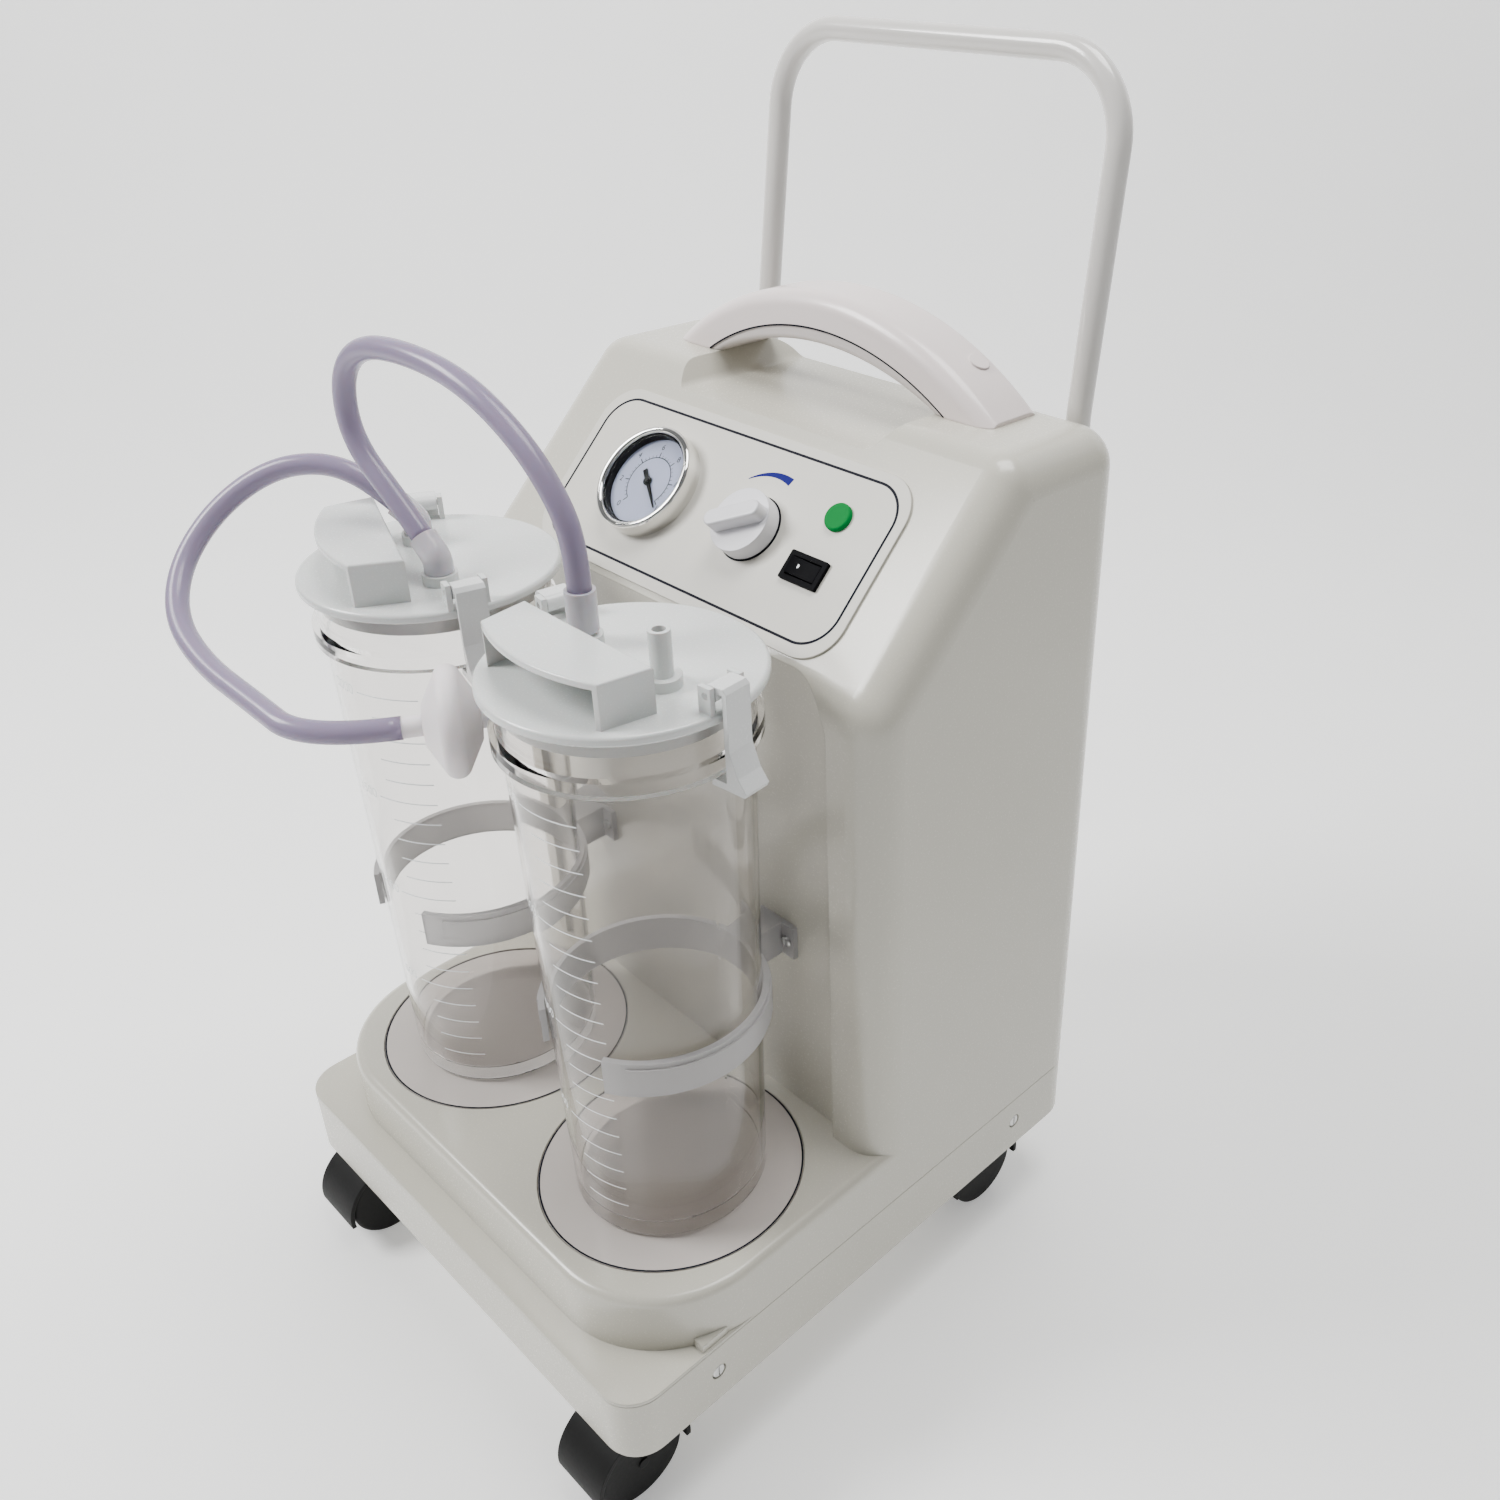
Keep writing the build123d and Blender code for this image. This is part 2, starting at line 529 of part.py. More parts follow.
FLOOR_Z = JAR_BOTTOM + 8                 # top of the jar's thick floor
NECK_R = JAR_BEAD_R - 3
jar = turned([(0, JAR_BOTTOM), (JAR_FOOT_R, JAR_BOTTOM), (JAR_SHOULDER_R, JAR_SHOULDER_Z),
              (JAR_SHOULDER_R, JAR_SHOULDER_Z + 1), (JAR_BEAD_R, JAR_SHOULDER_Z + 1),
              (JAR_BEAD_R, JAR_SHOULDER_Z + 9), (NECK_R, JAR_SHOULDER_Z + 9.8), (NECK_R, JAR_TOP),
              (NECK_R - JAR_WALL, JAR_TOP), (NECK_R - JAR_WALL, JAR_SHOULDER_Z + 8),
              (JAR_SHOULDER_R - JAR_WALL, JAR_SHOULDER_Z - 4), (JAR_FOOT_R - JAR_WALL, FLOOR_Z), (0, FLOOR_Z)],
             [(1, 4), (11, 3)])
SKIRT_R = 54.0
gasket = turned([(SKIRT_R + GAP, JAR_TOP), (NECK_R + 1.5, JAR_TOP), (NECK_R + 1.5, LID_BOTTOM),
                 (SKIRT_R + GAP, LID_BOTTOM)])

BRIDGE_X, BRIDGE_FRONT, BRIDGE_BACK, BRIDGE_WALL = 41.0, -50.5, -17.0, 3.0
EAR_GAP, EAR_END, PIN_R = 7.3, 10.0, 1.5


def bridge_outline(inset, front):
    """The finger bridge seen from above: a bowed front edge and slanting sides."""
    side_low, side_high, back = BRIDGE_X - inset, BRIDGE_X + 4 - inset, BRIDGE_BACK - inset
    with BuildSketch() as outline:
        with BuildLine():
            ThreePointArc((-side_low, front + 9), (0, front), (side_low, front + 9))
            Polyline((side_low, front + 9), (side_high, back), (-side_high, back), (-side_low, front + 9))
        make_face()
    return outline.sketch


def lid(nozzle_top):
    """A jar lid with its sealing skirt, finger bridge, two ports and two pairs of latch ears."""
    with BuildPart() as cover:
        add(turned([(0, LID_BOTTOM), (LID_R, LID_BOTTOM), (LID_R, LID_TOP), (0, LID_TOP)], [(1, 1), (2, 2)]))
        add(turned([(SKIRT_R - 2, LID_BOTTOM - 10), (SKIRT_R, LID_BOTTOM - 10), (SKIRT_R, LID_BOTTOM + 1),
                    (SKIRT_R - 2, LID_BOTTOM + 1)]))
        with BuildSketch(Plane.XY.offset(LID_TOP - 1)):
            add(bridge_outline(0, BRIDGE_FRONT))
        extrude(amount=BRIDGE_TOP - LID_TOP + 1)
        fillet(cover.faces().sort_by(Axis.Z)[-1].edges(), 1.2)
        with BuildSketch(Plane.XY.offset(LID_TOP)):
            add(bridge_outline(BRIDGE_WALL, BRIDGE_FRONT - 6))
        extrude(amount=BRIDGE_TOP - BRIDGE_WALL - LID_TOP, mode=Mode.SUBTRACT)
        with BuildSketch(Plane.XY.offset(LID_TOP - 1)):
            with Locations((-PORT_OFFSET, 0), (PORT_OFFSET, 0)):
                Circle(8.5)
        extrude(amount=6)
        with BuildSketch(Plane.XY.offset(LID_TOP + 4)):
            with Locations((-PORT_OFFSET, 0), (PORT_OFFSET, 0)):
                Circle(NOZZLE_R)
        extrude(amount=nozzle_top - LID_TOP - 4)
        with BuildSketch(Plane.XY.offset(LID_BOTTOM - 1)):
            with Locations((-PORT_OFFSET, 0), (PORT_OFFSET, 0)):
                Circle(NOZZLE_BORE)
        extrude(amount=nozzle_top - LID_BOTTOM + 2, mode=Mode.SUBTRACT)
        for angle in LATCH_TURNS:
            with BuildSketch(radial(angle).offset(-EAR_END)):
                with Locations((LATCH_R - 0.5, (LID_TOP - 1 + LATCH_Z + 4) / 2)):
                    Rectangle(7, LATCH_Z + 5 - LID_TOP)
            extrude(amount=EAR_END - EAR_GAP)
            with BuildSketch(radial(angle).offset(EAR_GAP)):
                with Locations((LATCH_R - 0.5, (LID_TOP - 1 + LATCH_Z + 4) / 2)):
                    Rectangle(7, LATCH_Z + 5 - LID_TOP)
            extrude(amount=EAR_END - EAR_GAP)
            with BuildSketch(radial(angle).offset(-EAR_END - 1)):
                with Locations((LATCH_R, LATCH_Z)):
                    Circle(PIN_R + RUN_FIT)
            extrude(amount=2 * EAR_END + 2, mode=Mode.SUBTRACT)
    return cover.part


def latch(angle):
    """An over-centre latch: barrel on its pin, plate over the lid, arm, flared foot and hook."""
    arm, foot, hook = 68.0, 76.5, NECK_R
    with BuildPart() as lever:
        with BuildSketch(radial(angle).offset(-7)):
            with BuildLine():
                Polyline((LATCH_R, LATCH_Z + 4), (arm - 2, LATCH_Z + 4), (arm, LATCH_Z + 2), (arm, 420),
                         (arm + 4, 409), (foot, 403), (foot - 1, 401), (hook, 401), (hook, 404.6),
                         (arm - 2.5, 404.6), (arm - 2.5, LATCH_Z + 1), (LATCH_R, LATCH_Z + 1),
                         (LATCH_R, LATCH_Z + 4))
            make_face()
            with Locations((LATCH_R, LATCH_Z)):
                Circle(4)
        extrude(amount=14)
        with BuildSketch(radial(angle).offset(-8)):
            with Locations((LATCH_R, LATCH_Z)):
                Circle(PIN_R + RUN_FIT)
        extrude(amount=16, mode=Mode.SUBTRACT)
    return lever.part


with BuildPart() as pins:
    for angle in LATCH_TURNS:
        with BuildSketch(radial(angle).offset(-EAR_END)):
            with Locations((LATCH_R, LATCH_Z)):
                Circle(PIN_R)
        extrude(amount=2 * EAR_END)

for side, turn in LID_TURN.items():
    save(at_jar(side) * jar, f"jar_{side}")
    save(at_jar(side) * gasket, f"jar_gasket_{side}")
    save(at_jar(side, turn) * lid(NOZZLE_TOP[side]), f"lid_{side}")
    save(at_jar(side, turn) * pins.part, f"latch_pins_{side}")
    for place, angle in zip(("outer", "inner") if side == "right" else ("inner", "outer"), LATCH_TURNS):
        save(at_jar(side, turn) * latch(angle), f"latch_{side}_{place}")

# ---------------------------------------------------------------- overflow float
CAGE_R, CAGE_LOW, FLOAT_R = 11.0, 392.0, 8.0
float_place = at_jar("left", LID_TURN["left"]) * Location((-PORT_OFFSET, 0, 0))
cage = turned([(5, CAGE_LOW), (CAGE_R, CAGE_LOW), (CAGE_R, LID_BOTTOM), (NOZZLE_BORE, LID_BOTTOM),
               (NOZZLE_BORE, LID_BOTTOM - 7), (CAGE_R - 1.5, LID_BOTTOM - 7), (CAGE_R - 1.5, CAGE_LOW + 1.5),
               (5, CAGE_LOW + 1.5)])
with BuildPart() as cage_open:
    add(cage)
    with BuildSketch(Plane.XY.offset(CAGE_LOW + 5)):
        with PolarLocations(CAGE_R, 4):
            Rectangle(8, 8)
    extrude(amount=22, mode=Mode.SUBTRACT)
save(float_place * cage_open.part, "float_cage")
FLOAT_LOW = CAGE_LOW + 1.5 + GAP
ball = turned([(0, FLOAT_LOW), (FLOAT_R, FLOAT_LOW), (FLOAT_R, FLOAT_LOW + 18), (0, FLOAT_LOW + 18)],
              [(1, 2), (2, 3)])
save(float_place * ball, "overflow_float")

# ---------------------------------------------------------------- jar clips
CLIP_OUT, CLIP_BAND, CLIP_GAP = CLIP_R + 3.0, CLIP_R + 4.1, 26.0


def wedge(radius, half_angle):
    """A long triangle that opens the ring towards the front."""
    Polygon((0, 0), (-radius * sin(radians(half_angle)), -radius * cos(radians(half_angle))),
            (-radius, -2 * radius), (radius, -2 * radius),
            (radius * sin(radians(half_angle)), -radius * cos(radians(half_angle))), align=None,
            mode=Mode.SUBTRACT)


with BuildPart() as clip:
    with BuildSketch(Plane.XY.offset(CLIP_Z0)):
        Circle(CLIP_OUT)
        Circle(CLIP_R, mode=Mode.SUBTRACT)
        wedge(CLIP_OUT + 10, CLIP_GAP)
    extrude(amount=CLIP_Z1 - CLIP_Z0)
    with BuildSketch(Plane.XY.offset(CLIP_Z0 + 3)):
        Circle(CLIP_BAND)
        Circle(CLIP_R, mode=Mode.SUBTRACT)
        wedge(CLIP_BAND + 10, CLIP_GAP + 12)
    extrude(amount=CLIP_Z1 - CLIP_Z0 - 6)
    with BuildSketch(Plane.XY.offset(CLIP_Z0)):
        with Locations((0, (CLIP_OUT - 1 + NICHE_Y - JAR_Y) / 2)):
            Rectangle(18, NICHE_Y - JAR_Y - CLIP_OUT + 1)
        with Locations((0, NICHE_Y - JAR_Y - 1.5)):
            Rectangle(36, 3)
    extrude(amount=CLIP_Z1 - CLIP_Z0)
    with BuildSketch(Plane.XZ.offset(JAR_Y - NICHE_Y - 1)):
        with Locations((-13, CLIP_SCREW_Z), (13, CLIP_SCREW_Z)):
            Circle(1.6)
    extrude(amount=6, mode=Mode.SUBTRACT)
for side in ("left", "right"):
    save(at_jar(side) * clip.part, f"jar_clip_{side}")


# ---------------------------------------------------------------- filter, inlet and hoses
FILTER_AT, FILTER_R, PORT_Z = (7.0, MID - 123.0), 25.0, 398.0
FILTER_PLANE = Plane(origin=(*FILTER_AT, PORT_Z), x_dir=(0, 0, 1), z_dir=(0.5, sqrt(0.75), 0))
with BuildPart() as filter_disc:
    with BuildSketch(Plane.XZ) as section:
        with BuildLine():
            Polyline((NOZZLE_BORE, -22), (NOZZLE_R, -22), (NOZZLE_R, -13), (10, -12.5), (FILTER_R - 1, -5))
            ThreePointArc((FILTER_R - 1, -5), (FILTER_R + 1.5, 0), (FILTER_R - 1, 5))
            Polyline((FILTER_R - 1, 5), (10, 12.5), (NOZZLE_R, 13), (NOZZLE_R, 16), (NOZZLE_BORE, 16),
                     (NOZZLE_BORE, 11), (FILTER_R - 3, 3), (FILTER_R - 3, -3), (NOZZLE_BORE, -11),
                     (NOZZLE_BORE, -22))
        make_face()
    revolve(axis=Axis.Z)
save(Location(FILTER_PLANE) * filter_disc.part, "bacteria_filter")

INLET_END = MID - 14.0
with BuildPart() as inlet:
    with BuildSketch(Plane.XZ.offset(-NICHE_Y)):
        with Locations((0, PORT_Z)):
            Circle(11)
    extrude(amount=2.5)
    with BuildSketch(Plane.XZ.offset(-NICHE_Y)):
        with Locations((0, PORT_Z)):
            Circle(4.5)
    extrude(amount=NICHE_Y - INLET_END)
    with BuildSketch(Plane.XZ.offset(-NICHE_Y - 22)):
        with Locations((0, PORT_Z)):
            Circle(4.5)
    extrude(amount=22)
    with BuildSketch(Plane.XZ.offset(-INLET_END + 1)):
        with Locations((0, PORT_Z)):
            Circle(NOZZLE_BORE)
    extrude(amount=-60, mode=Mode.SUBTRACT)
save(inlet.part, "vacuum_inlet")


def port(side, sx, z):
    """Centre of a lid's port at a height: sx -1 for the port on the lid's left, 1 for its right."""
    turn = radians(LID_TURN[side])
    x = JAR_X if side == "right" else -JAR_X
    return Vector(x + sx * PORT_OFFSET * cos(turn), JAR_Y + sx * PORT_OFFSET * sin(turn), z)


# each left port carries an elbow that leans the hose over: plan heading of the outlet, shared rise
ELBOW_RISE, ELBOW_BEND_Z, ELBOW_REACH, ELBOW_R = 42.0, 449.0, 12.0, 7.0
ELBOW_HEADING = {"link": 185.0, "loop": 216.0}


def elbow_points(name, reach):
    """Foot, bend and a point at a reach beyond the bend of a left port's elbow."""
    heading, rise = radians(ELBOW_HEADING[name]), radians(ELBOW_RISE)
    bend = port("left", 1 if name == "link" else -1, ELBOW_BEND_Z)
    foot = Vector(bend.X, bend.Y, NOZZLE_TOP["left"] - 4.8)
    return foot, bend, bend + Vector(cos(heading) * cos(rise), sin(heading) * cos(rise), sin(rise)) * reach


def elbow(name):
    """A rigid elbow: a sleeve over the port's nozzle that bends over towards its hose."""
    foot, bend, outlet = elbow_points(name, ELBOW_REACH)
    with BuildPart() as bent:
        with BuildLine() as route:
            FilletPolyline(foot, bend, outlet, radius=8)
        for radius, mode in ((ELBOW_R, Mode.ADD), (NOZZLE_BORE, Mode.SUBTRACT)):
            with BuildSketch(Plane(origin=foot, z_dir=(0, 0, 1))):
                Circle(radius)
            sweep(path=route.line, mode=mode)
        with BuildSketch(Plane(origin=foot, z_dir=(0, 0, 1))):
            Circle(NOZZLE_R)
        extrude(amount=NOZZLE_TOP["left"] - foot.Z, mode=Mode.SUBTRACT)
    return bent.part


save(elbow("link"), "hose_elbow_link")
save(elbow("loop"), "hose_elbow_loop")

# control points of each hose; scene.py repeats them in metres
LINK_ROUTE = [elbow_points("link", ELBOW_REACH)[2], elbow_points("link", ELBOW_REACH + 20)[2],
              (-108.5, MID - 91.5, 495.0), (-108.5, MID - 91.5, 526.0), (-88.5, MID - 89.7, 545.0),
              (-52.0, MID - 86.4, 548.5), (-12.0, MID - 82.8, 543.0), (22.0, MID - 79.8, 525.0),
              (43.0, MID - 78.0, 503.5), port("right", -1, 484.0), port("right", -1, NOZZLE_TOP["right"])]
LOOP_ROUTE = [elbow_points("loop", ELBOW_REACH)[2], elbow_points("loop", ELBOW_REACH + 20)[2],
              (-143.0, MID - 95.0, 477.0), (-162.0, MID - 114.0, 472.0), (-173.0, MID - 139.0, 455.0),
              (-167.0, MID - 164.0, 434.0), (-143.0, MID - 180.0, 418.0), (-107.0, MID - 184.0, 408.0),
              (-67.0, MID - 181.0, 403.0), FILTER_PLANE.from_local_coords((0, 0, -64)),
              FILTER_PLANE.from_local_coords((0, 0, -22))]
STUB_ROUTE = [FILTER_PLANE.from_local_coords((0, 0, 16)), FILTER_PLANE.from_local_coords((0, 0, 28)),
              (15.0, MID - 80.0, 391.0), (4.0, MID - 56.0, 389.0), (0.0, MID - 33.0, PORT_Z),
              (0.0, INLET_END, PORT_Z)]


def corner_radii(points):
    """The largest safe arc at each corner: 0.45 of the shorter run over the tangent of half the turn."""
    radii = []
    for before, here, after in zip(points, points[1:], points[2:]):
        run_in, run_out = Vector(*here) - Vector(*before), Vector(*after) - Vector(*here)
        half_turn = radians(run_in.get_angle(run_out)) / 2
        radii.append(0.45 * min(run_in.length, run_out.length) / tan(half_turn))
    return radii


def hose(points, name):
    """A round hose of straight runs and tangent arcs along its control points."""
    radii = corner_radii(points)
    with BuildPart() as tube:
        with BuildLine() as route:
            FilletPolyline(*points, radius=radii)
        start = Vector(*points[1]) - Vector(*points[0])
        with BuildSketch(Plane(origin=points[0], z_dir=start)):
            Circle(HOSE_R)
        sweep(path=route.line, transition=Transition.ROUND)
    length = sum(edge.length for edge in route.edges())
    print(name, "length", round(length, 1), "tightest", round(min(radii), 1),
          "volume ratio", round(tube.part.volume / (length * pi * HOSE_R ** 2), 4))
    save(tube.part, name)


hose(LINK_ROUTE, "hose_link")
hose(LOOP_ROUTE, "hose_loop")
hose(STUB_ROUTE, "hose_stub")

CUFF_FOOT = port("right", -1, 444.0)
with BuildPart() as cuff:
    with BuildSketch(Plane(origin=CUFF_FOOT)):
        Circle(7)
        Circle(NOZZLE_R, mode=Mode.SUBTRACT)
    extrude(amount=NOZZLE_TOP["right"] - CUFF_FOOT.Z)
save(cuff.part, "hose_cuff")

# ---------------------------------------------------------------- casters
HOOD_HALF, POCKET_R, WEB_HALF = 18.0, 26.5, 3.5
with BuildPart() as fork:
    with BuildSketch(Plane.YZ.offset(-HOOD_HALF)):
        with Locations((-WHEEL_TRAIL, WHEEL_R)):
            Circle(HOOD_R)
        with Locations((-WHEEL_TRAIL, WHEEL_R - HOOD_R - 4)):
            Rectangle(2 * HOOD_R + 2, 2 * HOOD_R, mode=Mode.SUBTRACT)
    extrude(amount=2 * HOOD_HALF)
    with BuildSketch(Plane.XY.offset(WHEEL_R + 8)):
        Circle(11)
    extrude(amount=TRAY_BOTTOM - GAP - WHEEL_R - 8)
    for x in (-HOOD_HALF - 1, WEB_HALF):
        with BuildSketch(Plane.YZ.offset(x)):
            with Locations((-WHEEL_TRAIL, WHEEL_R)):
                Circle(POCKET_R)
        extrude(amount=HOOD_HALF + 1 - WEB_HALF, mode=Mode.SUBTRACT)
    with BuildSketch(Plane.YZ.offset(-WEB_HALF - 1)):
        with Locations((-WHEEL_TRAIL, WHEEL_R)):
            Circle(AXLE_R + RUN_FIT)
    extrude(amount=2 * WEB_HALF + 2, mode=Mode.SUBTRACT)
    with BuildSketch(Plane.XY.offset(TRAY_BOTTOM - 1)):
        Circle(STEM_R)
    extrude(amount=19)

WHEEL_IN, WHEEL_OUT = 4.3, 15.3
with BuildPart() as wheels:
    for x in (-WHEEL_OUT, WHEEL_IN):
        with BuildSketch(Plane.YZ.offset(x)):
            with Locations((-WHEEL_TRAIL, WHEEL_R)):
                Circle(WHEEL_R)
        extrude(amount=WHEEL_OUT - WHEEL_IN)
    fillet(wheels.edges().filter_by(GeomType.CIRCLE), 2)
    with BuildSketch(Plane.YZ.offset(-WHEEL_OUT - 1)):
        with Locations((-WHEEL_TRAIL, WHEEL_R)):
            Circle(AXLE_R)
    extrude(amount=2 * WHEEL_OUT + 2)

for sx, across in ((-1, "left"), (1, "right")):
    for sy, along in ((-1, "front"), (1, "rear")):
        place = Location((sx * CASTER_X, MID + sy * CASTER_Y, 0))
        save(place * fork.part, f"caster_fork_{along}_{across}")
        save(place * wheels.part, f"caster_wheels_{along}_{across}")

# ---------------------------------------------------------------- pump unit inside the cabinet
MOTOR_Y, MOTOR_Z, MOTOR_R, MOTOR_HALF, SHAFT_R = MID + 90.0, 128.0, 42.0, 58.0, 4.0
PLATE_Z, PLATE_TOP = TRAY_BOTTOM + WALL + 12, TRAY_BOTTOM + WALL + 16
MOUNTS = [(sx * 82.0, MID + y) for sx in (-1, 1) for y in (45.0, 135.0)]
with BuildPart() as mounts:
    with BuildSketch(Plane.XY.offset(TRAY_BOTTOM + WALL)):
        with Locations(*MOUNTS):
            Circle(9)
    extrude(amount=PLATE_Z - TRAY_BOTTOM - WALL)
save(mounts.part, "rubber_mounts")

with BuildPart() as motor:
    with BuildSketch(Plane.XY.offset(PLATE_Z)):
        with Locations((0, MOTOR_Y)):
            RectangleRounded(200, 116, 8)
    extrude(amount=PLATE_TOP - PLATE_Z)
    with BuildSketch(Plane.YZ.offset(-MOTOR_HALF)):
        with Locations((MOTOR_Y, MOTOR_Z)):
            Circle(MOTOR_R)
        with Locations((MOTOR_Y, (MOTOR_Z + PLATE_Z) / 2)):
            Rectangle(50, MOTOR_Z - PLATE_Z)
    extrude(amount=2 * MOTOR_HALF)
    with BuildSketch(Plane.YZ.offset(-MOTOR_HALF + 4)):
        with Locations((MOTOR_Y, MOTOR_Z)):
            Circle(MOTOR_R - 4)
    extrude(amount=2 * MOTOR_HALF - 8, mode=Mode.SUBTRACT)
    with BuildSketch(Plane.YZ.offset(-MOTOR_HALF - 1)):
        with Locations((MOTOR_Y, MOTOR_Z)):
            Circle(SHAFT_R + RUN_FIT)
    extrude(amount=2 * MOTOR_HALF + 2, mode=Mode.SUBTRACT)
save(motor.part, "motor_housing")

with BuildPart() as rotor:
    for half, radius in ((MOTOR_HALF + 34, SHAFT_R), (MOTOR_HALF - 14, 30.0)):
        with BuildSketch(Plane.YZ.offset(-half)):
            with Locations((MOTOR_Y, MOTOR_Z)):
                Circle(radius)
        extrude(amount=2 * half)
    with BuildSketch(Plane.YZ.offset(MOTOR_HALF - 10)):
        with Locations((MOTOR_Y, MOTOR_Z)):
            Circle(35)
            with PolarLocations(35, 12):
                Circle(5, mode=Mode.SUBTRACT)
    extrude(amount=3)
save(rotor.part, "motor_rotor")

PUMP_IN, PUMP_OUT, HEAD_TOP = MOTOR_HALF + GAP, MOTOR_HALF + 38.0, 196.0
with BuildPart() as pumps:
    for x in (-PUMP_OUT, PUMP_IN):
        with BuildSketch(Plane.YZ.offset(x)):
            with Locations((MOTOR_Y, (PLATE_TOP + HEAD_TOP) / 2)):
                RectangleRounded(72, HEAD_TOP - PLATE_TOP, 6)
        extrude(amount=PUMP_OUT - PUMP_IN)
    with BuildSketch(Plane.YZ.offset(-PUMP_OUT - 1)):
        with Locations((MOTOR_Y, MOTOR_Z)):
            Circle(SHAFT_R + RUN_FIT)
    extrude(amount=2 * PUMP_OUT + 2, mode=Mode.SUBTRACT)
    with BuildSketch(Plane.XY.offset(HEAD_TOP)):
        with Locations((-(PUMP_IN + PUMP_OUT) / 2, MOTOR_Y), ((PUMP_IN + PUMP_OUT) / 2, MOTOR_Y)):
            Circle(NOZZLE_R)
    extrude(amount=10)
save(pumps.part, "pump_heads")

with BuildPart() as power:
    with BuildSketch(Plane.XZ.offset(-COVER_Y - 2.5)):
        with Locations(INLET_AT):
            RectangleRounded(34, 26, 3)
    extrude(amount=-2)
    with BuildSketch(Plane.XZ.offset(-COVER_Y + 18)):
        with Locations(INLET_AT):
            Rectangle(27, 19.4)
    extrude(amount=-21)
    with BuildSketch(Plane.XZ.offset(-COVER_Y + 15)):
        with Locations(INLET_AT):
            Rectangle(24, 16.4)
    extrude(amount=-24, mode=Mode.SUBTRACT)
    with BuildSketch(Plane.XZ.offset(-COVER_Y + 16)):
        with Locations((INLET_AT[0] - 7, INLET_AT[1] - 2), (INLET_AT[0], INLET_AT[1] + 2),
                       (INLET_AT[0] + 7, INLET_AT[1] - 2)):
            Rectangle(2, 4)
    extrude(amount=-16)
save(power.part, "power_inlet")

# rigid pipes from the inlet, the gauge and the regulator to a block, and down to a pump head
PIPE_R, BLOCK_Y, BLOCK_Z, BLOCK_HALF = 4.0, MID + 92.0, PORT_Z, 10.0
GAUGE_PORT = on_panel(GAUGE_AT, -40)
VALVE_PORT = on_panel(KNOB_AT, -42)
PUMP_PORT = ((PUMP_IN + PUMP_OUT) / 2, MOTOR_Y, HEAD_TOP + 10)
pipe_routes = [
    [(0, NICHE_Y + 22, PORT_Z), (0, BLOCK_Y - BLOCK_HALF, PORT_Z)],
    [GAUGE_PORT.origin, GAUGE_PORT.origin - PANEL.z_dir * 18, (-BLOCK_HALF, BLOCK_Y, BLOCK_Z)],
    [VALVE_PORT.origin, VALVE_PORT.origin - PANEL.z_dir * 18, (BLOCK_HALF, BLOCK_Y, BLOCK_Z)],
    [PUMP_PORT, (PUMP_PORT[0], MOTOR_Y, 300), (0, BLOCK_Y, 320), (0, BLOCK_Y, BLOCK_Z - BLOCK_HALF)]]
with BuildPart() as pipes:
    with BuildSketch(Plane.XY.offset(BLOCK_Z - BLOCK_HALF)):
        with Locations((0, BLOCK_Y)):
            Rectangle(2 * BLOCK_HALF, 2 * BLOCK_HALF)
    extrude(amount=2 * BLOCK_HALF)
    for points in pipe_routes:
        with BuildLine() as run:
            if len(points) > 2:
                FilletPolyline(*points, radius=8)
            else:
                Line(*points)
        with BuildSketch(Plane(origin=points[0], z_dir=Vector(*points[1]) - Vector(*points[0]))):
            Circle(PIPE_R)
        sweep(path=run.line)
save(pipes.part, "vacuum_pipes")
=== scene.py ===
"""Looks of the mobile two-jar suction pump: camera, hoses, finishes and printed marks."""
import bpy
from math import cos, pi, radians, sin, sqrt
import numpy as np
from mathutils import Matrix, Vector


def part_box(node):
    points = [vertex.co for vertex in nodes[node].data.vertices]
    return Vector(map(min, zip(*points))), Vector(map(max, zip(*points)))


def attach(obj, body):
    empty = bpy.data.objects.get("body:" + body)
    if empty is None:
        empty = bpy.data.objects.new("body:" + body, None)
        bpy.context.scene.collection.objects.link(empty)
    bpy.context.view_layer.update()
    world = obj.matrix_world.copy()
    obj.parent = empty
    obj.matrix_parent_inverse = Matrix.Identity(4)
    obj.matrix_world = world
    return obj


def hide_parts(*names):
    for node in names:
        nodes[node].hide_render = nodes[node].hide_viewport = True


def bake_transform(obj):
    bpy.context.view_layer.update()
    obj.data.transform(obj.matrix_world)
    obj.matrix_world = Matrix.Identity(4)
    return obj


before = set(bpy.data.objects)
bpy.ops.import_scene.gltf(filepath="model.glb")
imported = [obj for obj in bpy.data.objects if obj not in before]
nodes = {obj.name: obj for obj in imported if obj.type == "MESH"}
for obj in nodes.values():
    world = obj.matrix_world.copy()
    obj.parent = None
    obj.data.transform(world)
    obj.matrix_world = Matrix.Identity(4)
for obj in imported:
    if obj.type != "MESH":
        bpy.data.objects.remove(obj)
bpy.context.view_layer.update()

# ---------------------------------------------------------------- places, in metres
MM = 0.001
MID = -15.6 * MM                          # Y of the tray's middle
JAR_X, JAR_Y = 78.7 * MM, MID - 77.1 * MM
JAR_FLOOR, JAR_SHOULDER = 134.8 * MM, 404.0 * MM
JAR_FOOT_R, JAR_SHOULDER_R = 50.3 * MM, 55.8 * MM
PANEL_ORIGIN = Vector((0, MID + 8.6 * MM, 420.2 * MM))
PANEL_UP = Vector((0, sqrt(0.5), sqrt(0.5)))
PANEL_OUT = Vector((0, -sqrt(0.5), sqrt(0.5)))
PANEL_FACE = 1.2 * MM
GAUGE_AT = (-48.0 * MM, 45.3 * MM)
GAUGE_DIAL = PANEL_FACE + 4.0 * MM
HOSE_D = 11.0 * MM


